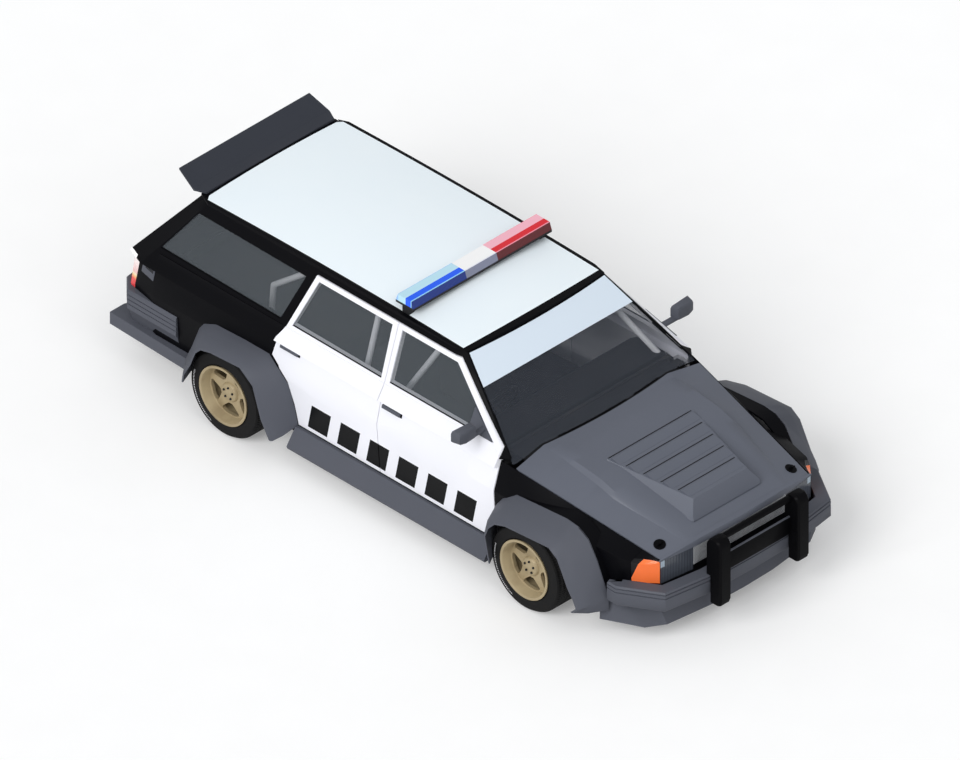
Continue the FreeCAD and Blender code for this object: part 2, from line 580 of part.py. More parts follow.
# ---------------------------------------------------------------- seats, dashboard
SEAT_SIDE = [(-330, 300), (-330, 380), (-420, 900), (-380, 960), (-310, 950), (-230, 470), (180, 500),
             (230, 480), (230, 300)]
cushion = side_prism(SEAT_SIDE, -620, -180)
cushion = cushion.fuse(box(-300, 200, -560, -240, FLOOR_TOP, 300))
keep("front_seats", pair(cushion))
dash = side_prism([(560, 640), (540, 820), (600, 860), (850, 870), (856, 640)], -735, 735)
wheel_centre = Vector(450, -380, 800)
ring = Part.makeTorus(175, 14, wheel_centre, Vector(-0.9, 0, 0.44))
column = rod((450, -380, 800), (600, -380, 727), 28)
spokes = rod((450, -550, 800), (450, -210, 800), 12)
dash = dash.cut(cage).fuse([ring, column, spokes])
keep("dashboard", dash)

# ---------------------------------------------------------------- check and write
doc.recompute()
for obj in doc.Objects:
    states = [word for word in obj.State if word in ("Invalid", "Error")]
    if states:
        raise RuntimeError("%s: %s" % (obj.Label, states))
for obj in SUBPARTS:
    shape = obj.Shape
    if shape.isNull() or not shape.isValid() or not shape.Solids:
        raise RuntimeError("%s: bad shape" % obj.Label)
    shape.exportStep("parts/%s.step" % obj.Label)
    bounds = shape.BoundBox
    print("%-20s solids %d  volume %.1f l  x %.0f..%.0f y %.0f..%.0f z %.0f..%.0f" % (
        obj.Label, len(shape.Solids), shape.Volume / 1e6, bounds.XMin, bounds.XMax,
        bounds.YMin, bounds.YMax, bounds.ZMin, bounds.ZMax))
print(len(SUBPARTS), "nodes")
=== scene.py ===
# %% [markdown]
# # A patrol estate car with a racing body kit
# The car is a five-door estate in black and white, with grey wheel flares, skirts and bumpers, a roof
# spoiler, a light bar, a push bar and a roll cage. Its panels are engineering parts, already in place and
# already split where the real doors and lids part. This lesson gives every surface its finish, makes the
# finer forms and adds the small pieces that the panels carry: seals, handles, pins, bolts and mesh.
# Everything is in metres: x runs forward, y to the car's left and z up, with the origin on the ground.

# %% The car as it comes
import json
import math
import bmesh
import bpy
from mathutils import Matrix, Vector
from mathutils.bvhtree import BVHTree


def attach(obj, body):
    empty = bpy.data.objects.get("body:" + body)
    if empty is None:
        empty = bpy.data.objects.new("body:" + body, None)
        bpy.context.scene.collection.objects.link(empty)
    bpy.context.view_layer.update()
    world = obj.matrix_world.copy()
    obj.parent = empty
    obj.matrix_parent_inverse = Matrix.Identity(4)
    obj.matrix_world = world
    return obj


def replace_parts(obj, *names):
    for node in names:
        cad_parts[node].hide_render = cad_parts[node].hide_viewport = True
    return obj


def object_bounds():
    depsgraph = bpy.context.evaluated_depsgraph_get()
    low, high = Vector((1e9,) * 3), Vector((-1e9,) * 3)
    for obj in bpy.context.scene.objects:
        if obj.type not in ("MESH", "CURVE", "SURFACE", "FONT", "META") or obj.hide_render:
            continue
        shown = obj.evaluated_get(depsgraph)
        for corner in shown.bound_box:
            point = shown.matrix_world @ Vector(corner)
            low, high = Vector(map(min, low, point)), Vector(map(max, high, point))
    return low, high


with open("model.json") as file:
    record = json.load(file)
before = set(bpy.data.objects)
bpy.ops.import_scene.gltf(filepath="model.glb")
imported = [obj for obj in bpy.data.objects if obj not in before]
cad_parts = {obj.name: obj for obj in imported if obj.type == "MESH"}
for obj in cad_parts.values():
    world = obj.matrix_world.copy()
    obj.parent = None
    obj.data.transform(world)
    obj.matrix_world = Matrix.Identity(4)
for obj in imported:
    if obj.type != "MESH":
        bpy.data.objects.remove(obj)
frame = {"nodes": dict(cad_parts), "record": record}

CAR = frame["nodes"]
cad_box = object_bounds()
LENGTH, WIDTH, HEIGHT = cad_box[1] - cad_box[0]
print(f"{len(CAR)} panels and parts, {LENGTH:.2f} m long, {WIDTH:.2f} m wide, {HEIGHT:.2f} m high")

# %% [markdown]
# ## Camera, light and floor
# A car is best read from a corner and from above, with no perspective, as in an assembly drawing. An
# orthographic camera does that: its size is the width of the view in metres. The light is a studio's: a
# pale dome all round, a large soft lamp from the right-hand side, and a weaker one in front, so that the
# side, the roof and the nose differ a little in brightness. The floor is pale and keeps the shadow.

# %% Camera
def stand(name, data):
    """A new object of some data, put into the scene."""
    made = bpy.data.objects.new(name, data)
    bpy.context.scene.collection.objects.link(made)
    return made


VIEW_WIDTH, CAMERA_AWAY = 6.083, 12
AIM = Vector((-0.0726, 0.0, 0.555))
BACK = Vector((1, -1, 1)).normalized()
camera_data = bpy.data.cameras.new("corner_view")
camera_data.type = "ORTHO"
camera_data.ortho_scale = VIEW_WIDTH
camera = stand("corner_view", camera_data)
camera.location = AIM + BACK * CAMERA_AWAY
camera.rotation_mode = "QUATERNION"
camera.rotation_quaternion = (-BACK).to_track_quat("-Z", "Y")
bpy.context.scene.camera = camera
bpy.context.scene.view_settings.view_transform = "Standard"
print("camera looks along", tuple(round(c, 3) for c in -BACK))

# %% [markdown]
# ## Shader maths as ordinary expressions
# A finish is a small sum: a colour, a little noise, a mask here and there. Wired by hand, each plus and
# times is a node. A class that wraps a socket and overloads the operators lets the sum be written as it
# is read, and one method makes every other node, so a finish stays a few lines long.

# %% A socket that can be reckoned with, and a finish that makes nodes
class Value:
    """A number that varies over a surface; + - * / and comparisons give new ones."""

    def __init__(self, finish, socket):
        self.finish = finish
        self.socket = socket

    def maths(self, operation, *numbers):
        return self.finish.node("ShaderNodeMath", {"operation": operation}, dict(enumerate(numbers)))

    def __add__(self, other):
        return self.maths("ADD", self, other)

    def __sub__(self, other):
        return self.maths("SUBTRACT", self, other)

    def __mul__(self, other):
        return self.maths("MULTIPLY", self, other)

    def __truediv__(self, other):
        return self.maths("DIVIDE", self, other)

    def __gt__(self, other):
        return self.maths("GREATER_THAN", self, other)

    def __lt__(self, other):
        return self.maths("LESS_THAN", self, other)

    def __abs__(self):
        return self.maths("ABSOLUTE", self)

    def within(self, low, high):
        """A mask that is 1 between two numbers."""
        return (self > low) * (self < high)

    __radd__ = __add__
    __rmul__ = __mul__


class Finish:
    """One material. Its main shader takes constants by name; whatever varies is linked to it."""

    def __init__(self, name, **constants):
        self.material = bpy.data.materials.new(name)
        self.material.use_nodes = True
        self.tree = self.material.node_tree
        self.shader = self.tree.nodes["Principled BSDF"]
        self.place = self.node("ShaderNodeTexCoord", output="Object")
        for socket, number in constants.items():
            self.shader.inputs[socket.replace("_", " ")].default_value = number

    def node(self, kind, settings=None, sockets=None, output=0):
        """Makes a node, sets its settings first, then fills its sockets with numbers or links."""
        made = self.tree.nodes.new(kind)
        for setting, choice in (settings or {}).items():
            if setting == "stops":
                for at, colour in choice:
                    stop = made.color_ramp.elements.new(at)
                    stop.color = colour
                made.color_ramp.elements.remove(made.color_ramp.elements[0])
                made.color_ramp.elements.remove(made.color_ramp.elements[-1])
            else:
                setattr(made, setting, choice)
        for socket, content in (sockets or {}).items():
            if isinstance(content, Value):
                self.tree.links.new(content.socket, made.inputs[socket])
            else:
                made.inputs[socket].default_value = content
        return Value(self, made.outputs[output])

    def noise(self, scale, detail=2.0):
        """Smooth noise from 0 to 1; scale is in waves per metre."""
        sockets = {"Vector": self.place, "Scale": scale, "Detail": detail, "Roughness": 0.5}
        return self.node("ShaderNodeTexNoise", None, sockets)

    def ribs(self, direction, scale):
        """Soft ribs from 0 to 1 across one axis, as are moulded into a lens."""
        sockets = {"Vector": self.place, "Scale": scale}
        return self.node("ShaderNodeTexWave", {"bands_direction": direction}, sockets)

    def axis(self, letter):
        """The place along one axis, in metres."""
        return self.node("ShaderNodeSeparateXYZ", None, {0: self.place}, letter)

    def blend(self, mask, first, second):
        """A colour between two others, by a mask."""
        return self.node("ShaderNodeMix", {"data_type": "RGBA"}, {0: mask, 6: first, 7: second}, 2)

    def steps(self, mask, low, high):
        """A mask that climbs smoothly from 0 at low to 1 at high."""
        settings = {"interpolation_type": "SMOOTHSTEP"}
        return self.node("ShaderNodeMapRange", settings, {0: mask, 1: low, 2: high})

    def bump(self, height, distance):
        """Tilts the shading by a height map; distance is the height's size in metres."""
        return self.node("ShaderNodeBump", None, {"Height": height, "Distance": distance, "Strength": 1.0})

    def set(self, **inputs):
        """Links what varies to the main shader."""
        for socket, content in inputs.items():
            self.tree.links.new(content.socket, self.shader.inputs[socket.replace("_", " ")])


def rgb(red, green, blue):
    """A colour as a screen shows it, 0 to 255, turned into the linear values that light uses."""
    linear = [((c / 255 + 0.055) / 1.055) ** 2.4 if c > 10 else c / 255 / 12.92 for c in (red, green, blue)]
    return (*linear, 1.0)


print("black paint in linear light:", [round(c, 4) for c in rgb(10, 10, 14)])

# %% [markdown]
# ## Floor and lamps
# The floor is a large plane, almost white. A camera sees part of its brightness as its own glow, so it
# stays pale out to the corners, and the rest as lit colour, so that the car's shadow still shows.

# %% Floor
FLOOR_REACH, FLOOR_GLOW = 40.0, 0.22
floor_finish = Finish("pale_floor", Roughness=0.9, Specular_IOR_Level=0.0)
mottle = floor_finish.noise(3.0)
floor_finish.set(Base_Color=floor_finish.blend(mottle, (0.80, 0.80, 0.80, 1), (0.83, 0.83, 0.83, 1)))
rays = floor_finish.node("ShaderNodeLightPath", output="Is Camera Ray")
glow = floor_finish.node("ShaderNodeEmission", None, {"Color": (1, 1, 1, 1), "Strength": FLOOR_GLOW * rays})
lit = Value(floor_finish, floor_finish.shader.outputs[0])
both = floor_finish.node("ShaderNodeAddShader", None, {0: lit, 1: glow})
output = floor_finish.tree.nodes["Material Output"]
floor_finish.tree.links.new(both.socket, output.inputs["Surface"])

floor_mesh = bpy.data.meshes.new("floor")
corners = [(x * FLOOR_REACH, y * FLOOR_REACH, 0) for x, y in ((-1, -1), (1, -1), (1, 1), (-1, 1))]
floor_mesh.from_pydata(corners, [], [(0, 1, 2, 3)])
floor_mesh.materials.append(floor_finish.material)
stand("floor", floor_mesh)
print("floor reaches", FLOOR_REACH, "m each way")

# %% Lamps and dome
SKY_STRENGTH = 0.5
LAMPS = [  # name, direction it shines from, irradiance, angle in degrees
    ("side_lamp", (0.15, -1.0, 0.75), 1.8, 35),
    ("front_lamp", (1.0, -0.25, 1.1), 0.5, 45),
]
world = bpy.data.worlds.new("studio_dome")
world.use_nodes = True
bpy.context.scene.world = world
sky = world.node_tree.nodes["Background"]
sky.inputs["Color"].default_value = (0.97, 0.985, 1.0, 1)
sky.inputs["Strength"].default_value = SKY_STRENGTH
for name, direction, power, angle in LAMPS:
    lamp_data = bpy.data.lights.new(name, "SUN")
    lamp_data.energy = power
    lamp_data.angle = math.radians(angle)
    lamp = stand(name, lamp_data)
    lamp.rotation_mode = "QUATERNION"
    lamp.rotation_quaternion = (-Vector(direction)).to_track_quat("-Z", "Y")
print(len(LAMPS), "lamps and a dome of strength", SKY_STRENGTH)

# %% [markdown]
# ## The finishes
# Paint on a car is a thin even film: a colour with hardly any change, a clear coat over it, and the faint
# ripple that painters call orange peel. The black is deep and only mirrors a little; the white is bright,
# and on the roof its cool cast is a painted reflection of the sky.

# %% Gloss paints
def paint(name, colour, shade, roughness, coat, specular):
    """A car paint: two nearly equal colours mixed by slow noise, and a fine ripple in the gloss."""
    finish = Finish(name, Specular_IOR_Level=specular, Coat_Weight=coat, Coat_Roughness=0.08)
    slow = finish.noise(2.5, 3.0)
    ripple = finish.noise(420.0, 1.0)
    finish.set(Base_Color=finish.blend(slow, colour, shade),
               Roughness=roughness + 0.08 * finish.noise(30.0),
               Normal=finish.bump(ripple, 0.00004))
    return finish.material


BLACK_PAINT = paint("black_gloss_paint", rgb(6, 6, 9), rgb(9, 9, 13), 0.42, 0.03, 0.06)
# The roof's cool cast is a painted reflection of the sky on its upward face; the doors' white has none.
ROOF_PAINT = paint("roof_gloss_paint", rgb(243, 251, 255), rgb(239, 249, 255), 0.34, 0.15, 0.25)
GREY_PAINT = paint("bonnet_satin_paint", rgb(98, 102, 113), rgb(93, 97, 108), 0.42, 0.1, 0.25)
KIT_GREY = paint("kit_satin_paint", rgb(86, 88, 97), rgb(81, 84, 92), 0.50, 0.03, 0.16)
SPOILER_GREY = paint("spoiler_satin_paint", rgb(55, 58, 66), rgb(50, 53, 61), 0.5, 0.0, 0.2)
BAR_BLACK = paint("push_bar_paint", rgb(5, 5, 7), rgb(8, 8, 10), 0.5, 0.02, 0.06)
CAGE_WHITE = paint("cage_paint", rgb(250, 251, 255), rgb(243, 245, 252), 0.35, 0.2, 0.3)
print("paints:", ", ".join(m.name for m in (BLACK_PAINT, ROOF_PAINT, GREY_PAINT, KIT_GREY, CAGE_WHITE)))

# %% [markdown]
# The doors are white, with a row of six plain black blocks, leaning forward, where a patrol car carries its
# marking. The row is worked out from the place on the door: how far along gives the block, and how high
# gives its top and foot. Only the outer skin is marked.

# %% Door paint
MARK_START, MARK_PITCH, MARK_COUNT = -0.735, 0.262, 6
MARK_FOOT, MARK_TOP = 0.305, 0.497
MARK_SHARE, MARK_LEAN = 0.66, 0.25      # the black share of each pitch, and its lean
OUTER_SKIN = 0.87                       # the skin lies further than this from the middle
door = Finish("white_door_paint", Specular_IOR_Level=0.1, Coat_Weight=0.05, Coat_Roughness=0.08)
height = door.axis("Z")
along = (door.axis("X") - MARK_LEAN * (height - MARK_FOOT) - MARK_START) / MARK_PITCH
black = along.maths("FRACT", along) < MARK_SHARE
marked = black * along.within(0.0, MARK_COUNT) * height.within(MARK_FOOT, MARK_TOP)
marked = marked * (abs(door.axis("Y")) > OUTER_SKIN)
white = door.blend(door.noise(2.5, 3.0), rgb(240, 240, 246), rgb(236, 237, 244))
door.set(Base_Color=door.blend(marked, white, rgb(6, 6, 8)), Roughness=0.28 + 0.08 * door.noise(30.0),
         Normal=door.bump(door.noise(420.0, 1.0), 0.00004))
DOOR_WHITE = door.material
print(MARK_COUNT, "marking blocks on each side")

# %% [markdown]
# Moulded plastic has a fine even grain that dulls it; rubber is duller still, a little dusty; bare steel
# under the car has been painted and sprayed with road dirt; cast alloy shows sand from its mould.

# %% Plastic, rubber, steel and cloth
def grained(name, colour, shade, roughness, grain, depth, metallic=0.0):
    """A surface with an even grain: grain is in bumps per metre, depth in metres."""
    finish = Finish(name, Specular_IOR_Level=0.3, Metallic=metallic)
    dust = finish.steps(finish.noise(6.0, 4.0), 0.45, 0.75)
    cells = finish.node("ShaderNodeTexVoronoi", None, {"Vector": finish.place, "Scale": grain}, "Distance")
    finish.set(Base_Color=finish.blend(dust, colour, shade),
               Roughness=roughness + 0.12 * dust,
               Normal=finish.bump(cells, depth))
    return finish.material


DARK_PLASTIC = grained("black_moulded_plastic", rgb(20, 20, 23), rgb(30, 30, 33), 0.55, 900.0, 0.0002)
CHASSIS = grained("chassis_paint", rgb(30, 30, 31), rgb(52, 48, 44), 0.7, 120.0, 0.0006)
ALLOY = grained("cast_alloy", rgb(140, 142, 146), rgb(104, 104, 106), 0.5, 300.0, 0.0004, 0.85)
CLOTH = grained("seat_cloth", rgb(38, 39, 44), rgb(52, 53, 58), 0.9, 700.0, 0.0005)
MESH_GREY = grained("mesh_paint", rgb(176, 178, 182), rgb(158, 160, 164), 0.5, 500.0, 0.0002)
RIM_GOLD = grained("gold_cast_rim", rgb(172, 156, 124), rgb(150, 134, 104), 0.42, 380.0, 0.0002, 0.15)
print("grained finishes made")

# %% [markdown]
# A tyre's finish needs to know how far a point is from its wheel's centre, and at what angle. Both come
# from the place along the car and the height. The wall carries a broken white band over part of its turn,
# and the tread has grooves round it and across it.

# %% Tyre rubber
FRONT_AXLE, REAR_AXLE, HUB_HEIGHT, HUB_Y = 1.352, -1.345, 0.308, 0.905
AXLES = ("front", FRONT_AXLE), ("rear", REAR_AXLE)
BAND_INNER, BAND_OUTER, TREAD_FOOT = 0.264, 0.274, 0.297
tyre = Finish("tyre_rubber", Specular_IOR_Level=0.25)
from_axle = tyre.axis("X") - REAR_AXLE - (FRONT_AXLE - REAR_AXLE) * (tyre.axis("X") > 0.0)
from_hub = tyre.axis("Z") - HUB_HEIGHT
squared = from_axle * from_axle + from_hub * from_hub
radius = squared.maths("SQRT", squared)
angle = radius.maths("ARCTAN2", from_hub, -1.0 * from_axle)
dashes = (140.0 * angle).maths("SINE", 140.0 * angle) + 1.6 * tyre.noise(60.0)
band = radius.within(BAND_INNER, BAND_OUTER) * angle.within(-1.15, 0.30) * (dashes > 0.9)
tread = radius > TREAD_FOOT
across = tyre.axis("Y")
grooves = (190.0 * across).maths("SINE", 190.0 * across) + 0.6 * (110.0 * angle).maths("SINE", 110.0 * angle)
dust = tyre.steps(tyre.noise(8.0, 4.0), 0.4, 0.8)
black = tyre.blend(dust, rgb(13, 13, 14), rgb(24, 23, 23))
tyre.set(Base_Color=tyre.blend(band, black, rgb(205, 205, 208)), Roughness=0.72 + 0.15 * dust,
         Normal=tyre.bump(tread * grooves, 0.004))
RUBBER = tyre.material
print(f"tyre wall's white band from {BAND_INNER * 1000:.0f} to {BAND_OUTER * 1000:.0f} mm out")

# %% [markdown]
# ## Glass and lenses
# Tinted glass lets some light through and mirrors a little. A mix of transparency, by the Alpha socket,
# and a dark gloss is enough: refraction in such thin sheets would hardly show, and costs far more.

# %% Glass and lenses
def glass(name, tint, shade, opacity):
    """A thin sheet: opacity is how much of what is behind it is held back."""
    finish = Finish(name, Specular_IOR_Level=0.35)
    streak = finish.noise(4.0, 3.0)
    finish.set(Base_Color=finish.blend(streak, tint, shade),
               Alpha=opacity + 0.04 * streak,
               Roughness=0.06 + 0.04 * finish.noise(25.0))
    return finish.material


GLASS_OPACITY = 0.24
TINTED = glass("tinted_window_glass", rgb(110, 117, 123), rgb(105, 111, 117), GLASS_OPACITY)

CLEAR_CORNER = (0.575, 0.640)       # the headlamp's clear corner: above this height, outside this half width
SLANT_FOOT, SLANT = 2.062, 0.36     # the amber lamp's rear edge leans forward as it rises
head = Finish("headlamp_lens", Specular_IOR_Level=0.4, Coat_Weight=0.3, Coat_Roughness=0.05)
corner = (head.axis("Z") > CLEAR_CORNER[0]) * (abs(head.axis("Y")) > CLEAR_CORNER[1])
ribs = head.ribs("Y", 14.0)
smoke = head.blend(ribs, rgb(74, 79, 88), rgb(66, 70, 79))
head.set(Base_Color=head.blend(corner, smoke, rgb(160, 176, 190)), Roughness=0.14 + 0.06 * ribs,
         Normal=head.bump(ribs, 0.0008))
CLEAR = head.material

amber = Finish("amber_lens", Specular_IOR_Level=0.3, Coat_Weight=0.2, Coat_Roughness=0.05)
ribs = amber.ribs("Z", 40.0)
behind = amber.axis("X") - SLANT * (amber.axis("Z") - 0.46) < SLANT_FOOT
orange = amber.blend(ribs, rgb(250, 122, 62), rgb(244, 114, 54))
amber.set(Base_Color=amber.blend(behind, orange, rgb(8, 8, 11)), Roughness=0.16 + 0.06 * ribs,
          Normal=amber.bump(ribs, 0.0006))
AMBER = amber.material
print("glass and lenses made")

# %% [markdown]
# Three lenses change colour over their surface. The windscreen has a pale sun strip across its top: on a
# raked screen, "near the top" is where the height outruns the place along the car. The tail lamp goes from
# red at its foot through amber to clear. The light bar is red on the left, blue on the right and clear in
# the middle; the coloured reflector in its front half shows strongly, and the dome behind it is pale. A thin
# pale line at the front edge of the top is a painted highlight, and the front face is darkened with painted
# shade.

# %% Windscreen, tail lamps and light bar
STRIP_LINE = -0.553    # the strip's foot: where the place along the car, less the height, is this
screen = Finish("windscreen_glass", Specular_IOR_Level=0.35)
strip = (screen.axis("X") - screen.axis("Z")) < STRIP_LINE
tint = screen.blend(screen.noise(4.0, 3.0), rgb(74, 79, 89), rgb(79, 84, 94))
screen.set(Base_Color=screen.blend(strip, tint, rgb(218, 230, 242)),
           Alpha=GLASS_OPACITY + (1 - GLASS_OPACITY) * strip,
           Roughness=0.07 + 0.04 * screen.noise(25.0))
SCREEN = screen.material

tail = Finish("tail_lamp_lens", Specular_IOR_Level=0.5, Coat_Weight=0.4, Coat_Roughness=0.05)
stops = [(0.0, rgb(238, 62, 72)), (0.26, rgb(240, 70, 66)), (0.34, rgb(250, 176, 110)),
         (0.42, rgb(246, 232, 190)), (0.5, rgb(238, 190, 188)), (1.0, rgb(236, 200, 206))]
tail_height = tail.steps(tail.axis("Z"), 0.54, 0.84)
ribs = tail.ribs("Z", 40.0)
tail.set(Base_Color=tail.node("ShaderNodeValToRGB", {"stops": stops}, {0: tail_height}),
         Roughness=0.12 + 0.06 * ribs, Normal=tail.bump(ribs, 0.0008))
RED = tail.material

BAR_MIDDLE, BAR_HALF_DEPTH, CLEAR_HALF = -0.128, 0.079, 0.14
beacon = Finish("light_bar_lens", Specular_IOR_Level=0.4, Coat_Weight=0.3, Coat_Roughness=0.05)
forward = (beacon.axis("X") - BAR_MIDDLE + BAR_HALF_DEPTH) / (2 * BAR_HALF_DEPTH)
left = beacon.axis("Y") > CLEAR_HALF
right = beacon.axis("Y") < -CLEAR_HALF


def bar_colour(rear, top, reflector, line, front):
    """The bar's colours from its rear bevel forward over the top to its front face. The line colour is a
    painted highlight along the top's front edge, and the front colour is the face darkened with painted
    shade.
    """
    shade = beacon.blend(forward > 0.14, rgb(*rear), rgb(*top))
    for start, colour in ((0.55, reflector), (0.84, line), (0.885, front)):
        shade = beacon.blend(forward > start, shade, rgb(*colour))
    return shade


# In each row the fourth colour is a painted highlight, and the fifth is the front face darkened with painted
# shade.
blue = bar_colour((158, 204, 252), (190, 230, 246), (0, 92, 250), (150, 214, 250), (8, 44, 128))
red = bar_colour((252, 150, 164), (250, 184, 200), (222, 8, 34), (250, 150, 168), (92, 10, 20))
clear = bar_colour((244, 248, 252), (252, 252, 252), (252, 252, 252), (236, 238, 246), (130, 134, 156))
flutes = beacon.ribs("Y", 30.0)
beacon.set(Base_Color=beacon.blend(left, beacon.blend(right, clear, blue), red),
           Roughness=0.14 + 0.05 * flutes, Normal=beacon.bump(flutes, 0.0006))
BEACON = beacon.material
print("windscreen, tail lamps and light bar made")

# %% [markdown]
# ## Dressing the panels
# Each part of the car takes one finish. A table of part and finish keeps them in view.

# %% Finish of each part
CORNERS = [f"{row}_{side}" for row in ("front", "rear") for side in ("right", "left")]


def at_corners(kind):
    """The names of the four parts of a kind, one at each corner of the car."""
    return [f"{kind}_{corner}" for corner in CORNERS]


FINISHES = {
    BLACK_PAINT: ["side_frame_right", "side_frame_left", "windscreen_frame", "front_fenders", "nose_panel",
                  "tailgate"],
    DOOR_WHITE: at_corners("door"),
    ROOF_PAINT: ["roof_panel"],
    GREY_PAINT: ["bonnet", "bonnet_louvres"],
    KIT_GREY: ["front_bumper", "side_skirts", "rear_bumper", "wheel_flares", "mirror_right",
               "mirror_left"],
    SPOILER_GREY: ["roof_spoiler"],
    BAR_BLACK: ["push_bar"],
    CAGE_WHITE: ["roll_cage"],
    DARK_PLASTIC: ["grille", "light_bar_base", "dashboard"],
    RUBBER: at_corners("tyre"),
    CHASSIS: ["floorpan", "bulkhead", "driveline", "rear_axle", "front_crossmember", "knuckle_right",
              "knuckle_left"],
    ALLOY: ["engine"],
    CLOTH: ["front_seats"],
    RIM_GOLD: at_corners("rim"),
    TINTED: ["quarter_glass", "tailgate_glass"] + at_corners("glass"),
    SCREEN: ["windscreen"],
    AMBER: ["corner_lamps"],
    CLEAR: ["headlamps"],
    RED: ["tail_lamps"],
    BEACON: ["light_bar_lenses"],
}
FINISH_OF = {node: finish for finish, nodes in FINISHES.items() for node in nodes}
BODY_OF = {node: body for body, nodes in frame["record"]["behaviour"]["bodies"].items() for node in nodes}
print("parts without a finish:", sorted(set(CAR) - set(FINISH_OF)) or "none")

# %% [markdown]
# The parts' meshes are loose, flat triangles. Each is copied, its corners are joined and its gentle edges
# smoothed, so that tubes and tyres shade as curves while the folds stay crisp. Sheets that only bend a
# little are smoothed less than tubes. Parts whose finer form comes later are left out here.

# %% Smooth copies of the parts
SAME_SPOT = 2e-5                    # corners nearer than this are one corner
SHEET_FOLD, ROUND_FOLD = 22, 36     # an edge that bends more than this many degrees stays a fold
ROUND_PARTS = ("tyre_", "roll_cage", "light_bar", "dashboard", "rear_axle")


def add_piece(name, mesh, finish, body):
    """An object of one finish that rides on a body of the car."""
    mesh.materials.clear()
    mesh.materials.append(finish)
    piece = stand(name, mesh)
    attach(piece, body)
    return piece


def mesh_of(name, form):
    """A form's mesh; the form is used up."""
    mesh = bpy.data.meshes.new(name)
    form.to_mesh(mesh)
    form.free()
    return mesh


def smooth_copy(node):
    """A copy of a part with joined corners, smooth across its gentle edges."""
    mesh = CAR[node].data.copy()
    form = bmesh.new()
    form.from_mesh(mesh)
    bmesh.ops.remove_doubles(form, verts=form.verts, dist=SAME_SPOT)
    limit = math.radians(ROUND_FOLD if node.startswith(ROUND_PARTS) else SHEET_FOLD)
    for face in form.faces:
        face.smooth = True
    for edge in form.edges:
        edge.smooth = len(edge.link_faces) == 2 and edge.calc_face_angle(0.0) < limit
    form.to_mesh(mesh)
    form.free()
    return mesh


FINER = ["front_seats", "wheel_flares", "front_bumper", "rear_bumper", "bonnet_louvres", "push_bar", "grille",
         "mirror_right", "mirror_left"] + at_corners("rim")
PANELS = {}
for node in CAR:
    if node not in FINER:
        PANELS[node] = add_piece("panel_" + node, smooth_copy(node), FINISH_OF[node], BODY_OF[node])
        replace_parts(PANELS[node], node)
print(len(PANELS), "parts copied")

# %% [markdown]
# ## Seats
# A racing seat is foam under cloth. Each seat starts as a plain form, whose edges are rounded off.

# %% Seats
SEAT_ROUNDING, SEAT_FILL = 0.018, 0.8
seat_form = bmesh.new()
seat_form.from_mesh(CAR["front_seats"].data)
bmesh.ops.remove_doubles(seat_form, verts=seat_form.verts, dist=SAME_SPOT)
bmesh.ops.dissolve_limit(seat_form, angle_limit=math.radians(1), verts=seat_form.verts,
                         edges=seat_form.edges)
folds = [edge for edge in seat_form.edges if edge.calc_face_angle(0.0) > math.radians(25)]
bmesh.ops.bevel(seat_form, geom=folds, offset=SEAT_ROUNDING, segments=3, affect="EDGES", profile=0.6,
                clamp_overlap=True)
for face in seat_form.faces:
    face.smooth = True
seat_mesh = mesh_of("seats", seat_form)
seats = add_piece("front_seats_soft", seat_mesh, CLOTH, "body")
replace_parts(seats, "front_seats")
print("seats rounded,", len(seat_mesh.polygons), "faces")

# %% [markdown]
# ## Small pieces set on the panels
# A small piece is made about its own origin, with z standing out of the surface, then set where a ray
# meets the panel. The ray gives the place and the surface's lean, so a handle lies flat on a leaning door.

# %% Making and setting small pieces
def seat_on(node, start, aim, up=(0, 0, 1)):
    """The frame of a panel's surface where a ray meets it: x along it, y up it, z out of it."""
    tree = BVHTree.FromObject(PANELS[node], bpy.context.evaluated_depsgraph_get())
    spot, normal, _, _ = tree.ray_cast(Vector(start), Vector(aim).normalized())
    side = Vector(up).cross(normal).normalized()
    turn = Matrix((side, normal.cross(side), normal)).transposed()
    return Matrix.Translation(spot) @ turn.to_4x4()


def block(form, low, high, rounding=0.0, place=None):
    """A box between two corners, with rounded edges. It is shaped by itself, so its order never varies."""
    low, high = Vector(low), Vector(high)
    spread = Matrix.Diagonal((*(high - low), 1.0))
    box = bmesh.new()
    bmesh.ops.create_cube(box, matrix=Matrix.Translation((low + high) / 2) @ spread)
    if rounding:
        bmesh.ops.bevel(box, geom=box.edges[:], offset=rounding, segments=2, affect="EDGES", profile=0.5)
    if place:
        bmesh.ops.transform(box, matrix=place, verts=box.verts)
    mesh = mesh_of("block", box)
    form.from_mesh(mesh)
    bpy.data.meshes.remove(mesh)


def disc(form, radius, low, high, sides, place):
    """A short cylinder along z, then set in place."""
    centre = Matrix.Translation((0, 0, (low + high) / 2))
    made = bmesh.ops.create_cone(form, cap_ends=True, segments=sides, radius1=radius, radius2=radius,
                                 depth=high - low, matrix=centre)["verts"]
    bmesh.ops.transform(form, matrix=place, verts=made)


def finished(name, form, finish, body):
    """Turns a form into a finished piece, smooth but for its folds."""
    bmesh.ops.recalc_face_normals(form, faces=form.faces)
    for face in form.faces:
        face.smooth = True
    for edge in form.edges:
        edge.smooth = edge.calc_face_angle(0.0) < math.radians(40)
    return add_piece(name, mesh_of(name, form), finish, body)


def in_place_of(node, name, form):
    """A finished piece that takes over a part's place, finish and body."""
    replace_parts(finished(name, form, FINISH_OF[node], BODY_OF[node]), node)


SIDES = ("right", -1), ("left", 1)    # y is positive on the left


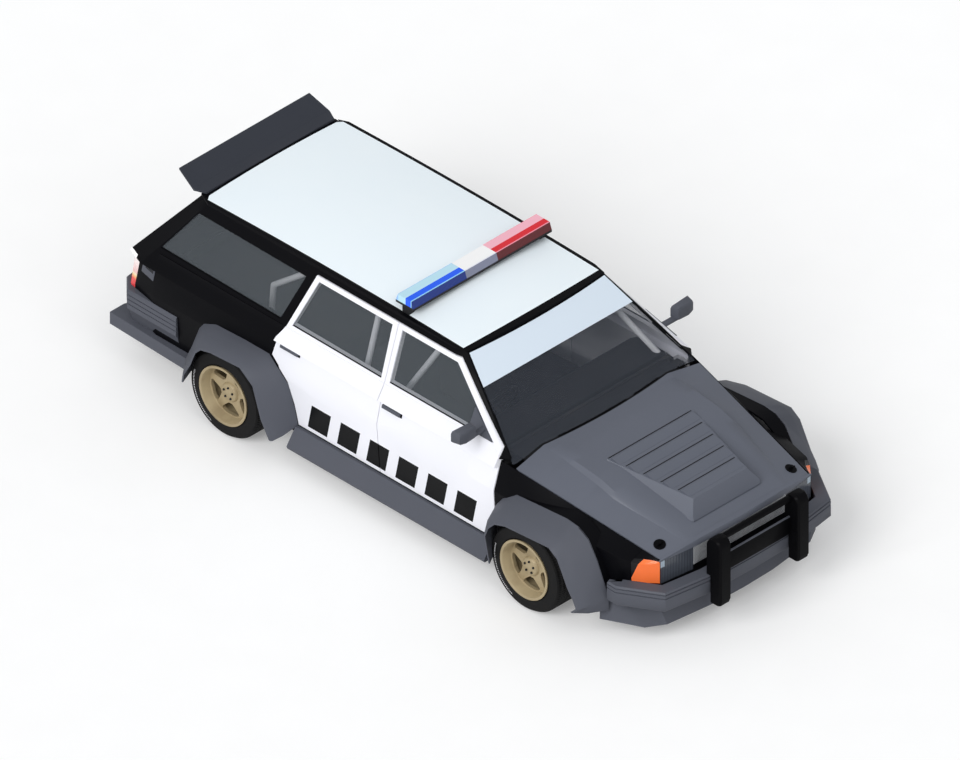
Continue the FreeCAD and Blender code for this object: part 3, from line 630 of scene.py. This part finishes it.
def skin(form, rings, closed=True, ends=True):
    """Joins a row of outlines, which have as many points each, into one skin."""
    rows = [[form.verts.new(point) for point in ring] for ring in rings]
    count = len(rows[0])
    for near, far in zip(rows, rows[1:]):
        for index in range(count if closed else count - 1):
            after = (index + 1) % count
            form.faces.new((near[index], near[after], far[after], far[index]))
    if ends:
        form.faces.new(rows[0])
        form.faces.new(rows[-1][::-1])


def whole(half):
    """A half outline in plan, which ends on the middle line, with its mirror image."""
    return half + [(x, -y) for x, y in reversed(half) if y != 0]


def sweep(form, plan, profile):
    """Runs a closed (out, height) profile along an outline in plan, mitred at its corners."""
    spots = [Vector(spot) for spot in plan]
    rings = []
    for index, spot in enumerate(spots):
        first = max(index - 1, 0)
        ways = [(b - a).normalized() for a, b in zip(spots[first:], spots[first + 1:index + 2])]
        outs = [Vector((way.y, -way.x)) for way in ways]
        mitre = sum(outs, Vector((0, 0))).normalized()
        mitre = mitre / mitre.dot(outs[0])
        rings.append([(spot.x + mitre.x * out, spot.y + mitre.y * out, height) for out, height in profile])
    skin(form, rings)


# %% [markdown]
# ## Finer forms
# Some forms are finer than the plain solids. Each is made again, at the same place and size, and stands for
# the plain one: the flares' rounded crowns, the bumpers' grooves, the bonnet's raised middle and
# louvres, the grille, the push bar, the mirrors and the five-window wheels.

# %% Wheel flares
FLARE_ROOT_Y, FLARE_BODY_Y, FLARE_LIP_Y, FLARE_WALL = 0.775, 0.880, 1.085, 0.014
CROWN_SHARE = 0.58                  # how far out from body to lip the crown stands highest
FRONT_FLARE = [  # pairs of (x, z): at the body, then at the lip
    ((0.962, 0.250), (1.078, 0.253)), ((0.962, 0.560), (1.038, 0.458)), ((1.030, 0.650), (1.068, 0.535)),
    ((1.140, 0.710), (1.128, 0.599)), ((1.390, 0.733), (1.228, 0.633)), ((1.590, 0.750), (1.638, 0.660)),
    ((1.690, 0.740), (1.718, 0.606)), ((1.780, 0.690), (1.818, 0.411)), ((1.860, 0.560), (1.863, 0.347)),
    ((1.960, 0.335), (1.891, 0.290)), ((1.960, 0.225), (1.843, 0.240))]
REAR_FLARE = [
    ((-1.740, 0.300), (-1.672, 0.288)), ((-1.740, 0.480), (-1.662, 0.358)),
    ((-1.700, 0.600), (-1.602, 0.468)), ((-1.660, 0.654), (-1.552, 0.588)),
    ((-1.550, 0.695), (-1.502, 0.638)), ((-1.300, 0.705), (-1.407, 0.661)),
    ((-1.070, 0.705), (-1.132, 0.674)), ((-0.960, 0.640), (-1.012, 0.585)),
    ((-0.895, 0.574), (-0.967, 0.458)), ((-0.850, 0.420), (-0.932, 0.351)),
    ((-0.823, 0.269), (-0.860, 0.223))]


def pulled(spot, axle_x, amount):
    """A point of a flare's outline moved toward the axle."""
    away = Vector((spot[0] - axle_x, spot[1] - HUB_HEIGHT))
    away -= away.normalized() * amount
    return axle_x + away.x, HUB_HEIGHT + away.y


form = bmesh.new()
for rows, axle_x in ((FRONT_FLARE, FRONT_AXLE), (REAR_FLARE, REAR_AXLE)):
    for side, sign in SIDES:
        rings = []
        for foot, lip in rows:
            crown = [foot[k] * (1 - CROWN_SHARE) + lip[k] * CROWN_SHARE for k in (0, 1)]
            shape = [(foot, FLARE_BODY_Y, 0.0), (crown, 1.005, -0.009), (lip, FLARE_LIP_Y - 0.012, 0.0),
                     (lip, FLARE_LIP_Y, 0.010), (lip, FLARE_LIP_Y, FLARE_WALL + 0.008),
                     (crown, 0.990, FLARE_WALL), (foot, FLARE_BODY_Y, FLARE_WALL)]
            rings.append([(x, sign * y, z) for spot, y, depth in shape
                          for x, z in (pulled(spot, axle_x, depth),)])
        skin(form, rings)
in_place_of("wheel_flares", "flares_crowned", form)
# Inboard of each front flare the fender carries on in black, up to the flare's root.
ROOT_SECTION = [(FLARE_ROOT_Y, 0.004), (FLARE_BODY_Y + 0.004, -0.002), (FLARE_BODY_Y + 0.004, -0.012),
                (FLARE_ROOT_Y, -0.012)]
form = bmesh.new()
for side, sign in SIDES:
    skin(form, [[(x, sign * y, z + drop) for y, drop in ROOT_SECTION] for (x, z), lip in FRONT_FLARE[2:10]])
finished("flare_roots", form, BLACK_PAINT, "body")
print("4 flares, and the roots of the front ones")

# %% Bumpers
BUMPER_PLAN = whole([(1.958, -0.880), (1.972, -0.908), (2.052, -0.910), (2.330, -0.742), (2.382, -0.400),
                     (2.390, 0)])
BUMPER_PROFILE = [(-0.010, 0.320), (0, 0.332), (0, 0.416), (-0.007, 0.418), (-0.007, 0.424), (0, 0.426),
                  (0, 0.445), (-0.007, 0.447), (-0.007, 0.453), (0, 0.455), (-0.008, 0.467), (-0.090, 0.467),
                  (-0.090, 0.320)]
LIP_TOP = whole([(1.883, -0.880), (1.932, -0.860), (2.009, -0.800), (2.225, -0.680), (2.262, -0.300),
                 (2.270, 0)])
LIP_FOOT = whole([(1.900, -0.900), (2.040, -0.830), (2.170, -0.767), (2.246, -0.640), (2.292, -0.260),
                  (2.300, 0)])
LIP_TOP_Z, LIP_FOLD_Z, LIP_EDGE_Z, LIP_WALL, LIP_TUCK = 0.300, 0.262, 0.138, 0.07, 0.92
form = bmesh.new()
sweep(form, BUMPER_PLAN, BUMPER_PROFILE)
skin(form, [[(x, y, LIP_TOP_Z), (x, y, LIP_FOLD_Z), (u, v, LIP_EDGE_Z),
             (u - LIP_WALL, v * LIP_TUCK, LIP_EDGE_Z), (x - LIP_WALL, y * LIP_TUCK, LIP_TOP_Z)]
            for (x, y), (u, v) in zip(LIP_TOP, LIP_FOOT)])
in_place_of("front_bumper", "front_bumper_grooved", form)
REAR_PLAN = whole([(-1.890, -0.908), (-2.330, -0.905), (-2.440, -0.800), (-2.480, -0.500), (-2.480, 0)])[::-1]
REAR_PROFILE = [(-0.040, 0.325), (-0.012, 0.425), (0, 0.437), (0, 0.470), (-0.007, 0.472),
                (-0.007, 0.477), (0, 0.479), (0, 0.505), (-0.007, 0.507), (-0.007, 0.512), (0, 0.514),
                (0, 0.540), (-0.007, 0.542), (-0.007, 0.547), (0, 0.549), (0, 0.572), (-0.008, 0.582),
                (-0.090, 0.582), (-0.090, 0.325)]
FIN_PLAN = whole([(-1.740, -0.930), (-2.485, -0.905), (-2.485, -0.780), (-2.440, -0.640), (-2.440, 0)])
FIN_ROOT = whole([(-1.800, -0.860), (-2.300, -0.860), (-2.380, -0.760), (-2.400, -0.600), (-2.400, 0)])
form = bmesh.new()
sweep(form, REAR_PLAN, REAR_PROFILE)
skin(form, [[(x, y, 0.331), (x, y, 0.240), (u, v, 0.236), (u, v, 0.335)]
            for (x, y), (u, v) in zip(FIN_PLAN, FIN_ROOT)])
in_place_of("rear_bumper", "rear_bumper_grooved", form)
print("front bumper with two grooves, rear bumper with three")

# %% Bonnet's raised middle and louvres
BONNET_TREE = BVHTree.FromObject(PANELS["bonnet"], bpy.context.evaluated_depsgraph_get())
BONNET_MIDDLE_X, BESIDE = 1.6, 0.01    # a ray that misses the bonnet is tried again nearer its middle
RISE_START, RISE_END, RISE_MOST = 1.05, 2.235, 0.027
RISE_STEPS, RISE_FIRST_X, RISE_STEP = 26, 1.115, 0.0442
RISE_SHARES = (-1.0, -0.95, -0.8, -0.5, -0.2, 0.2, 0.5, 0.8, 0.95, 1.0)


def bonnet_height(x, y):
    """Height of the bonnet's surface at a place."""
    spot = BONNET_TREE.ray_cast(Vector((x, y, 2)), Vector((0, 0, -1)))[0]
    return spot.z if spot else bonnet_height(x + math.copysign(BESIDE, BONNET_MIDDLE_X - x), y)


def rise(x):
    """How far the raised middle stands above the bonnet."""
    return max(0.001, min((RISE_END - x) * 0.042, (x - RISE_START) * 0.060, RISE_MOST))


rings = []
for step in range(RISE_STEPS):
    x = RISE_FIRST_X + step * RISE_STEP
    edge = 0.575 - 0.012 * (x - 1.06) - 0.18 * max(0.0, x - 1.70)
    ring = []
    for share in RISE_SHARES:
        lift = rise(x) if abs(share) < 1 else -0.002
        ring.append((x, share * edge, bonnet_height(x, share * edge) + lift))
    rings.append(ring)
form = bmesh.new()
skin(form, rings, closed=False, ends=False)
finished("bonnet_raised_middle", form, GREY_PAINT, "bonnet")

BONNET_FRONT = whole([(2.203, -0.662), (2.230, -0.418), (2.238, 0)])
NOSE_FRONT = whole([(2.219, -0.684), (2.254, -0.414), (2.264, 0)])
LIP_FOOT_Z = 0.627
rings = []
for (x, y), (u, v) in zip(BONNET_FRONT, NOSE_FRONT):
    top = bonnet_height(x - 0.004, y) + 0.001
    rings.append([(x, y, top), (u - 0.004, v, top - 0.006), (u, v, top - 0.012), (u, v, LIP_FOOT_Z),
                  (u - 0.004, v, LIP_FOOT_Z), (x, y, top - 0.008)])
form = bmesh.new()
skin(form, rings)
finished("bonnet_front_lip", form, GREY_PAINT, "bonnet")

LOUVRE_BACK, LOUVRE_FRONT = 1.450, 2.080
SLATS, SLAT_START, SLAT_PITCH, SLAT_MARGIN, SLOT_BEHIND = 5, 1.475, 0.1265, 0.016, 0.026
SLAT_SECTION = [(-0.020, -0.012), (-0.016, 0.004), (-0.004, 0.010), (0.012, 0.008), (0.070, -0.006),
                (0.070, -0.012)]


def louvre_half_width(x):
    """Half the width of the louvres' raised panel, which narrows forward."""
    return 0.386 - 0.146 * (x - LOUVRE_BACK) / (LOUVRE_FRONT - LOUVRE_BACK)


def louvre_top(x):
    """Height of the louvres' raised panel, which falls forward."""
    return 0.894 - 0.065 * (x - LOUVRE_BACK) / (LOUVRE_FRONT - LOUVRE_BACK)


form = bmesh.new()
rings = []
for x in (LOUVRE_BACK, LOUVRE_FRONT):
    half, top, foot = louvre_half_width(x), louvre_top(x), bonnet_height(x, 0) - 0.02
    spread = half + 0.71 * (top - foot)
    rings.append([(x, -spread, foot), (x, -half, top), (x, half, top), (x, spread, foot)])
rings.append([(2.145, -0.300, 0.715), (2.132, -0.296, 0.745), (2.132, 0.296, 0.745), (2.145, 0.300, 0.715)])
skin(form, rings)
for index in range(SLATS):
    x = SLAT_START + SLAT_PITCH * index
    half = louvre_half_width(x) - SLAT_MARGIN
    skin(form, [[(x + a, sign * half, louvre_top(x) + b) for a, b in SLAT_SECTION] for sign in (-1, 1)])
in_place_of("bonnet_louvres", "bonnet_louvres_cut", form)
# Just behind each slat a thin dark strip is painted shade in the louvre's opening.
form = bmesh.new()
for index in range(SLATS):
    x = SLAT_START + SLAT_PITCH * index - SLOT_BEHIND
    half = louvre_half_width(x) - SLAT_MARGIN
    block(form, (x - 0.003, -half, louvre_top(x) - 0.01), (x + 0.004, half, louvre_top(x) + 0.0015))
finished("louvre_slot_shade", form, DARK_PLASTIC, "bonnet")
print(SLATS, "louvres on the raised middle")

# %% Grille, push bar and mirrors
form = bmesh.new()
block(form, (2.204, -0.408, 0.487), (2.212, 0.408, 0.623))
for low, high in (((-0.408, 0.487), (0.408, 0.499)), ((-0.408, 0.612), (0.408, 0.623)),
                  ((-0.408, 0.487), (-0.396, 0.623)), ((0.396, 0.487), (0.408, 0.623))):
    block(form, (2.212, *low), (2.248, *high))
for level in range(8):
    block(form, (2.236, -0.400, 0.510 + 0.014 * level), (2.246, 0.400, 0.514 + 0.014 * level))
for post in range(-5, 6):
    block(form, (2.226, 0.069 * post - 0.003, 0.490), (2.238, 0.069 * post + 0.003, 0.620))
in_place_of("grille", "grille_bars", form)

UPRIGHT = [(2.393, 0.264), (2.393, 0.469), (2.358, 0.469), (2.358, 0.700), (2.370, 0.738), (2.396, 0.757),
           (2.450, 0.757), (2.471, 0.738), (2.485, 0.705), (2.485, 0.300), (2.471, 0.264)]
form = bmesh.new()
for sign in (-1, 1):
    rings = []
    for y, inset in ((0.300, 0.012), (0.312, 0.0), (0.388, 0.0), (0.400, 0.012)):
        rings.append([(x - inset * (x > 2.44), sign * y, z - inset * (z > 0.73) * 0.5) for x, z in UPRIGHT])
    skin(form, rings)
block(form, (2.393, -0.305, 0.452), (2.407, 0.305, 0.582), 0.002)
TUBE_PLACE = Matrix.Translation((2.398, 0, 0.722)) @ Matrix.Rotation(math.pi / 2, 4, "X")
disc(form, 0.022, -0.310, 0.310, 24, TUBE_PLACE)
in_place_of("push_bar", "push_bar_chamfered", form)

HEAD = [(0.728, -1.062), (0.792, -1.046), (0.806, -1.000), (0.800, -0.905), (0.740, -0.893)]
SAIL = [(0.864, 0.824, 0.954), (0.648, 0.824, 0.954), (0.648, 0.756, 1.088)]
for side, sign in SIDES:
    form = bmesh.new()
    middle = Vector((0.768, -0.978))
    rings = []
    for z, share in ((0.998, 0.86), (1.010, 1.0), (1.068, 1.0), (1.086, 0.90), (1.092, 0.74)):
        ring = [middle + (Vector(spot) - middle) * share for spot in HEAD]
        rings.append([(spot.x, -sign * spot.y, z) for spot in ring])
    skin(form, rings)
    near, far = sorted((sign * 0.770, sign * 0.930))
    block(form, (0.744, near, 0.986), (0.782, far, 1.010), 0.004)
    skin(form, [[(x, sign * (y + out), z) for x, y, z in SAIL] for out in (-0.004, 0.007)])
    in_place_of(f"mirror_{side}", f"mirror_leaf_{side}", form)
print("grille, push bar and mirrors")

# %% Five-window wheels
RIM_SECTION = [(0, -0.078), (0.056, -0.078), (0.062, -0.074), (0.070, -0.058), (0.178, -0.058),
               (0.184, -0.066), (0.192, -0.126), (0.196, -0.130), (0.212, -0.129), (0.212, -0.122),
               (0.200, -0.122), (0.200, 0.118), (0.189, 0.118), (0.189, -0.034), (0.068, -0.034),
               (0.062, 0.020), (0.031, 0.020), (0.031, -0.020), (0, -0.020)]
RIM_WINDOW = [(0.088, -0.014), (0.100, -0.030), (0.142, -0.074), (0.158, -0.070), (0.171, -0.036),
              (0.171, 0.036), (0.158, 0.070), (0.142, 0.074), (0.100, 0.030), (0.088, 0.014)]
RIM_SIDES, RIM_WINDOWS, RIM_TURN = 60, 5, 0.3
form = bmesh.new()
skin(form, [[(radius * math.cos(turn), y, radius * math.sin(turn)) for radius, y in RIM_SECTION]
            for turn in (math.tau * k / RIM_SIDES for k in range(RIM_SIDES + 1))], closed=False, ends=False)
bmesh.ops.remove_doubles(form, verts=form.verts, dist=1e-5)
bmesh.ops.recalc_face_normals(form, faces=form.faces)
blank = stand("rim_blank", mesh_of("rim_blank", form))
form = bmesh.new()
for window in range(RIM_WINDOWS):
    turn = Matrix.Rotation(math.tau * window / RIM_WINDOWS + RIM_TURN, 4, "Y")
    skin(form, [[turn @ Vector((x, y, z)) for x, z in RIM_WINDOW] for y in (-0.09, 0.0)])
bmesh.ops.recalc_face_normals(form, faces=form.faces)
cutter = stand("rim_cutter", mesh_of("rim_cutter", form))
cut = blank.modifiers.new("windows", "BOOLEAN")
cut.operation, cut.solver, cut.object = "DIFFERENCE", "EXACT", cutter
rim_mesh = bpy.data.meshes.new_from_object(blank.evaluated_get(bpy.context.evaluated_depsgraph_get()))
for tool in (blank, cutter):
    bpy.data.objects.remove(tool)
for row, axle_x in AXLES:
    for side, sign in SIDES:
        form = bmesh.new()
        form.from_mesh(rim_mesh)
        bmesh.ops.remove_doubles(form, verts=form.verts, dist=1e-5)
        place = Matrix.Translation((axle_x, sign * HUB_Y, HUB_HEIGHT))
        place @= Matrix.Rotation(0 if sign < 0 else math.pi, 4, "Z")
        bmesh.ops.transform(form, matrix=place, verts=form.verts)
        in_place_of(f"rim_{row}_{side}", f"rim_{row}_{side}_windows", form)
print("4 rims with", RIM_WINDOWS, "windows,", len(rim_mesh.polygons), "faces each")

# %% Sun strip
# The strip lies over the top of the screen and its header, along the raked and bowed line of the glass.
STRIP_TOP, STRIP_PROUD = 1.322, 0.006
SCREEN_FOOT, SCREEN_RISE, SCREEN_RAKE = (1.042, 0.870), 0.455, 0.609
BOW, BOW_LOSS = 0.075, 0.045        # the bow forward at the foot, and how much of it is lost at the top
HALF_WIDTH, HALF_LOSS = 0.805, 0.202
form = bmesh.new()
rows = [[], []]
for step in range(-8, 9):
    bow = 1 - (step / 8) ** 2
    foot_share = ((SCREEN_FOOT[0] - SCREEN_FOOT[1] - STRIP_PROUD - STRIP_LINE + BOW * bow)
                  / (SCREEN_RAKE + SCREEN_RISE + BOW_LOSS * bow))
    for row, share in zip(rows, (foot_share, (STRIP_TOP - SCREEN_FOOT[1]) / SCREEN_RISE)):
        row.append((SCREEN_FOOT[0] - SCREEN_RAKE * share + (BOW - BOW_LOSS * share) * bow,
                    step / 8 * (HALF_WIDTH - HALF_LOSS * share), SCREEN_FOOT[1] + SCREEN_RISE * share))
skin(form, rows, closed=False, ends=False)
finished("sun_strip", form, SCREEN, "body")
print(f"sun strip up to {STRIP_TOP} m")

# %% Cowl panel below the windscreen
form = bmesh.new()
block(form, (0.872, -0.700, 0.826), (1.036, 0.700, 0.844), 0.004)
finished("cowl_panel", form, DARK_PLASTIC, "body")
print("cowl panel from the bulkhead to the bonnet's rear edge")

# %% Door handles
HANDLES = [("front", 0.014, 0.797), ("rear", -0.902, 0.806)]
for side, sign in SIDES:
    for row, x, z in HANDLES:
        place = seat_on(f"door_{row}_{side}", (x, sign * 2, z), (0, -sign, 0))
        body = f"{row}_door_{side}"
        form = bmesh.new()
        block(form, (-0.086, -0.020, -0.002), (0.086, 0.020, 0.003), 0.002, place)
        finished(f"handle_dish_{row}_{side}", form, BAR_BLACK, body)
        form = bmesh.new()
        block(form, (-0.080, -0.013, 0.010), (0.080, 0.013, 0.021), 0.004, place)
        for end in (-0.066, 0.066):
            block(form, (end - 0.010, -0.009, 0.001), (end + 0.010, 0.009, 0.013), 0.002, place)
        finished(f"handle_{row}_{side}", form, KIT_GREY, body)
print("4 door handles")

# %% Bonnet pins, vents and plate
for side, sign in SIDES:
    place = seat_on("bonnet", (2.125, sign * 0.588, 2), (0, 0, -1), (1, 0, 0))
    form = bmesh.new()
    disc(form, 0.040, -0.001, 0.004, 32, place)
    disc(form, 0.011, 0.003, 0.026, 16, place)
    block(form, (-0.030, -0.004, 0.014), (0.034, 0.004, 0.020), 0.002, place)
    finished(f"bonnet_pin_{side}", form, BAR_BLACK, "bonnet")
    place = seat_on(f"side_frame_{side}", (-2.19, sign * 2, 0.775), (0, -sign, 0))
    form = bmesh.new()
    block(form, (-0.068, -0.044, -0.006), (0.068, 0.044, 0.004), 0.003, place)
    finished(f"vent_frame_{side}", form, KIT_GREY, "body")
    form = bmesh.new()
    for step in range(4):
        block(form, (-0.030, 0.004 + 0.009 * step, 0.003), (0.056, 0.009 + 0.009 * step, 0.006), 0.0, place)
    finished(f"vent_slots_{side}", form, DARK_PLASTIC, "body")
place = seat_on("tailgate", (-4, 0, 0.70), (1, 0, 0))
form = bmesh.new()
block(form, (-0.17, -0.055, -0.004), (0.17, 0.055, 0.003), 0.002, place)
finished("plate_bare", form, CAGE_WHITE, "tailgate")
# A lighter grey strip along the top edge of the push bar's plate is a painted highlight.
form = bmesh.new()
block(form, (2.3935, -0.300, 0.580), (2.4065, 0.300, 0.588), 0.001)
finished("push_bar_highlight_strip", form, KIT_GREY, "body")
print("pins, vents, plate and trim set")

# %% [markdown]
# ## Seals, mesh and bolts with Geometry Nodes
# Two small node trees make what repeats. One turns every edge of a mesh into a round cord: it draws the
# window seals from the panes' outlines and the grille's wire mesh from a grid. The other sets a bolt on
# every point, turned to a wheel's axle.

# %% Node trees
def node_tree(name, inputs):
    """A geometry node tree with a mesh input, named inputs, a finish and a mesh output."""
    tree = bpy.data.node_groups.new(name, "GeometryNodeTree")
    tree.interface.new_socket("Geometry", in_out="INPUT", socket_type="NodeSocketGeometry")
    sockets = {}
    for label, kind, usual in inputs + [("Finish", "Material", None)]:
        socket = tree.interface.new_socket(label, in_out="INPUT", socket_type="NodeSocket" + kind)
        if usual is not None:
            socket.default_value = usual
        sockets[label] = socket.identifier
    tree.interface.new_socket("Geometry", in_out="OUTPUT", socket_type="NodeSocketGeometry")
    return tree, sockets


LAST_KINDS = {"join": "GeometryNodeRealizeInstances", "paint": "GeometryNodeSetMaterial",
              "in": "NodeGroupInput", "out": "NodeGroupOutput"}
LAST_LINKS = [("join", "Geometry", "paint", "Geometry"), ("in", "Finish", "paint", "Material"),
              ("paint", "Geometry", "out", "Geometry")]


def wire(tree, kinds, links):
    """Adds nodes by name and kind, then links them. Both trees end alike, with a finished mesh."""
    nodes = {name: tree.nodes.new(kind) for name, kind in (kinds | LAST_KINDS).items()}
    for source, output, target, entry in links + LAST_LINKS:
        tree.links.new(nodes[source].outputs[output], nodes[target].inputs[entry])


CORD, CORD_INPUTS = node_tree("edges_to_cords", [("Radius", "Float", 0.004), ("Sides", "Int", 8)])
wire(CORD, {"line": "GeometryNodeMeshToCurve", "round": "GeometryNodeCurvePrimitiveCircle",
            "cord": "GeometryNodeCurveToMesh"},
     [("in", "Geometry", "line", "Mesh"), ("in", "Radius", "round", "Radius"),
      ("in", "Sides", "round", "Resolution"), ("line", "Curve", "cord", "Curve"),
      ("round", "Curve", "cord", "Profile Curve"), ("cord", "Mesh", "join", "Geometry")])
BOLT, BOLT_INPUTS = node_tree("points_to_bolts", [("Radius", "Float", 0.007), ("Height", "Float", 0.012),
                                                  ("Sides", "Int", 6), ("Turn", "Vector", None)])
wire(BOLT, {"bolt": "GeometryNodeMeshCylinder", "set": "GeometryNodeInstanceOnPoints"},
     [("in", "Geometry", "set", "Points"), ("in", "Sides", "bolt", "Vertices"),
      ("in", "Radius", "bolt", "Radius"), ("in", "Height", "bolt", "Depth"),
      ("bolt", "Mesh", "set", "Instance"), ("in", "Turn", "set", "Rotation"),
      ("set", "Instances", "join", "Geometry")])


def grow(name, points, edges, tree, sockets, settings, finish, body):
    """Runs a node tree on points and edges, and keeps the mesh that it makes as a piece."""
    seed_mesh = bpy.data.meshes.new(name)
    seed_mesh.from_pydata(points, edges, [])
    seed = stand(name + "_seed", seed_mesh)
    nodes = seed.modifiers.new("nodes", "NODES")
    nodes.node_group = tree
    for label, setting in settings.items():
        nodes[sockets[label]] = setting
    nodes[sockets["Finish"]] = finish
    bpy.context.view_layer.update()
    mesh = bpy.data.meshes.new_from_object(seed.evaluated_get(bpy.context.evaluated_depsgraph_get()))
    mesh.name = name
    seed.modifiers.remove(nodes)
    bpy.data.objects.remove(seed)
    return add_piece(name, mesh, finish, body)


print("trees:", CORD.name, BOLT.name)

# %% Window seals
def outline_of(node):
    """The folds round a pane's outer face, as points and edges."""
    form = bmesh.new()
    form.from_mesh(PANELS[node].data)
    inside = Vector((0.2 if node == "windscreen" else -0.6, 0.0, 0.6))
    points, edges = [], []
    for edge in form.edges:
        if len(edge.link_faces) == 2 and edge.calc_face_angle(0.0) > math.radians(50):
            outward = [face.normal.dot((edge.verts[0].co - inside).normalized()) for face in edge.link_faces]
            if max(outward) > 0.45 and max(face.calc_area() for face in edge.link_faces) > 0.002:
                edges.append((len(points), len(points) + 1))
                points += [vert.co.copy() for vert in edge.verts]
    form.free()
    return points, edges


SEALS = at_corners("glass") + ["quarter_glass", "tailgate_glass", "windscreen"]
for pane in SEALS:
    points, edges = outline_of(pane)
    grow("seal_" + pane, points, edges, CORD, CORD_INPUTS, {"Radius": 0.005, "Sides": 8}, BAR_BLACK,
         BODY_OF[pane])
print(len(SEALS), "window seals")

# %% Grille mesh and wheel bolts
MESH_PITCH, MESH_COLUMNS, MESH_ROWS = 0.011, 75, 13
BOLTS, BOLT_CIRCLE, BOLT_OUT = 5, 0.040, 0.079
columns = [-0.407 + MESH_PITCH * k for k in range(MESH_COLUMNS)]
rows = [0.495 + MESH_PITCH * k for k in range(MESH_ROWS)]
points, edges = [], []
for start, end in ([((2.2505, y, 0.498), (2.2505, y, 0.628)) for y in columns]
                   + [((2.2525, -0.413, z), (2.2525, 0.413, z)) for z in rows]):
    edges.append((len(points), len(points) + 1))
    points += [start, end]
grow("grille_mesh", points, edges, CORD, CORD_INPUTS, {"Radius": 0.0026, "Sides": 4}, MESH_GREY, "body")
for row, axle_x in AXLES:
    for side, sign in SIDES:
        centres = [(axle_x + BOLT_CIRCLE * math.cos(turn), sign * (HUB_Y + BOLT_OUT),
                    HUB_HEIGHT + BOLT_CIRCLE * math.sin(turn))
                   for turn in (math.tau * k / BOLTS + RIM_TURN for k in range(BOLTS))]
        grow(f"bolts_{row}_{side}", centres, [], BOLT, BOLT_INPUTS,
             {"Radius": 0.008, "Height": 0.014, "Sides": 6, "Turn": (math.pi / 2, 0, 0)}, CHASSIS,
             f"wheel_{row}_{side}")
print(len(edges), "wires in the grille,", 4 * BOLTS, "wheel bolts")
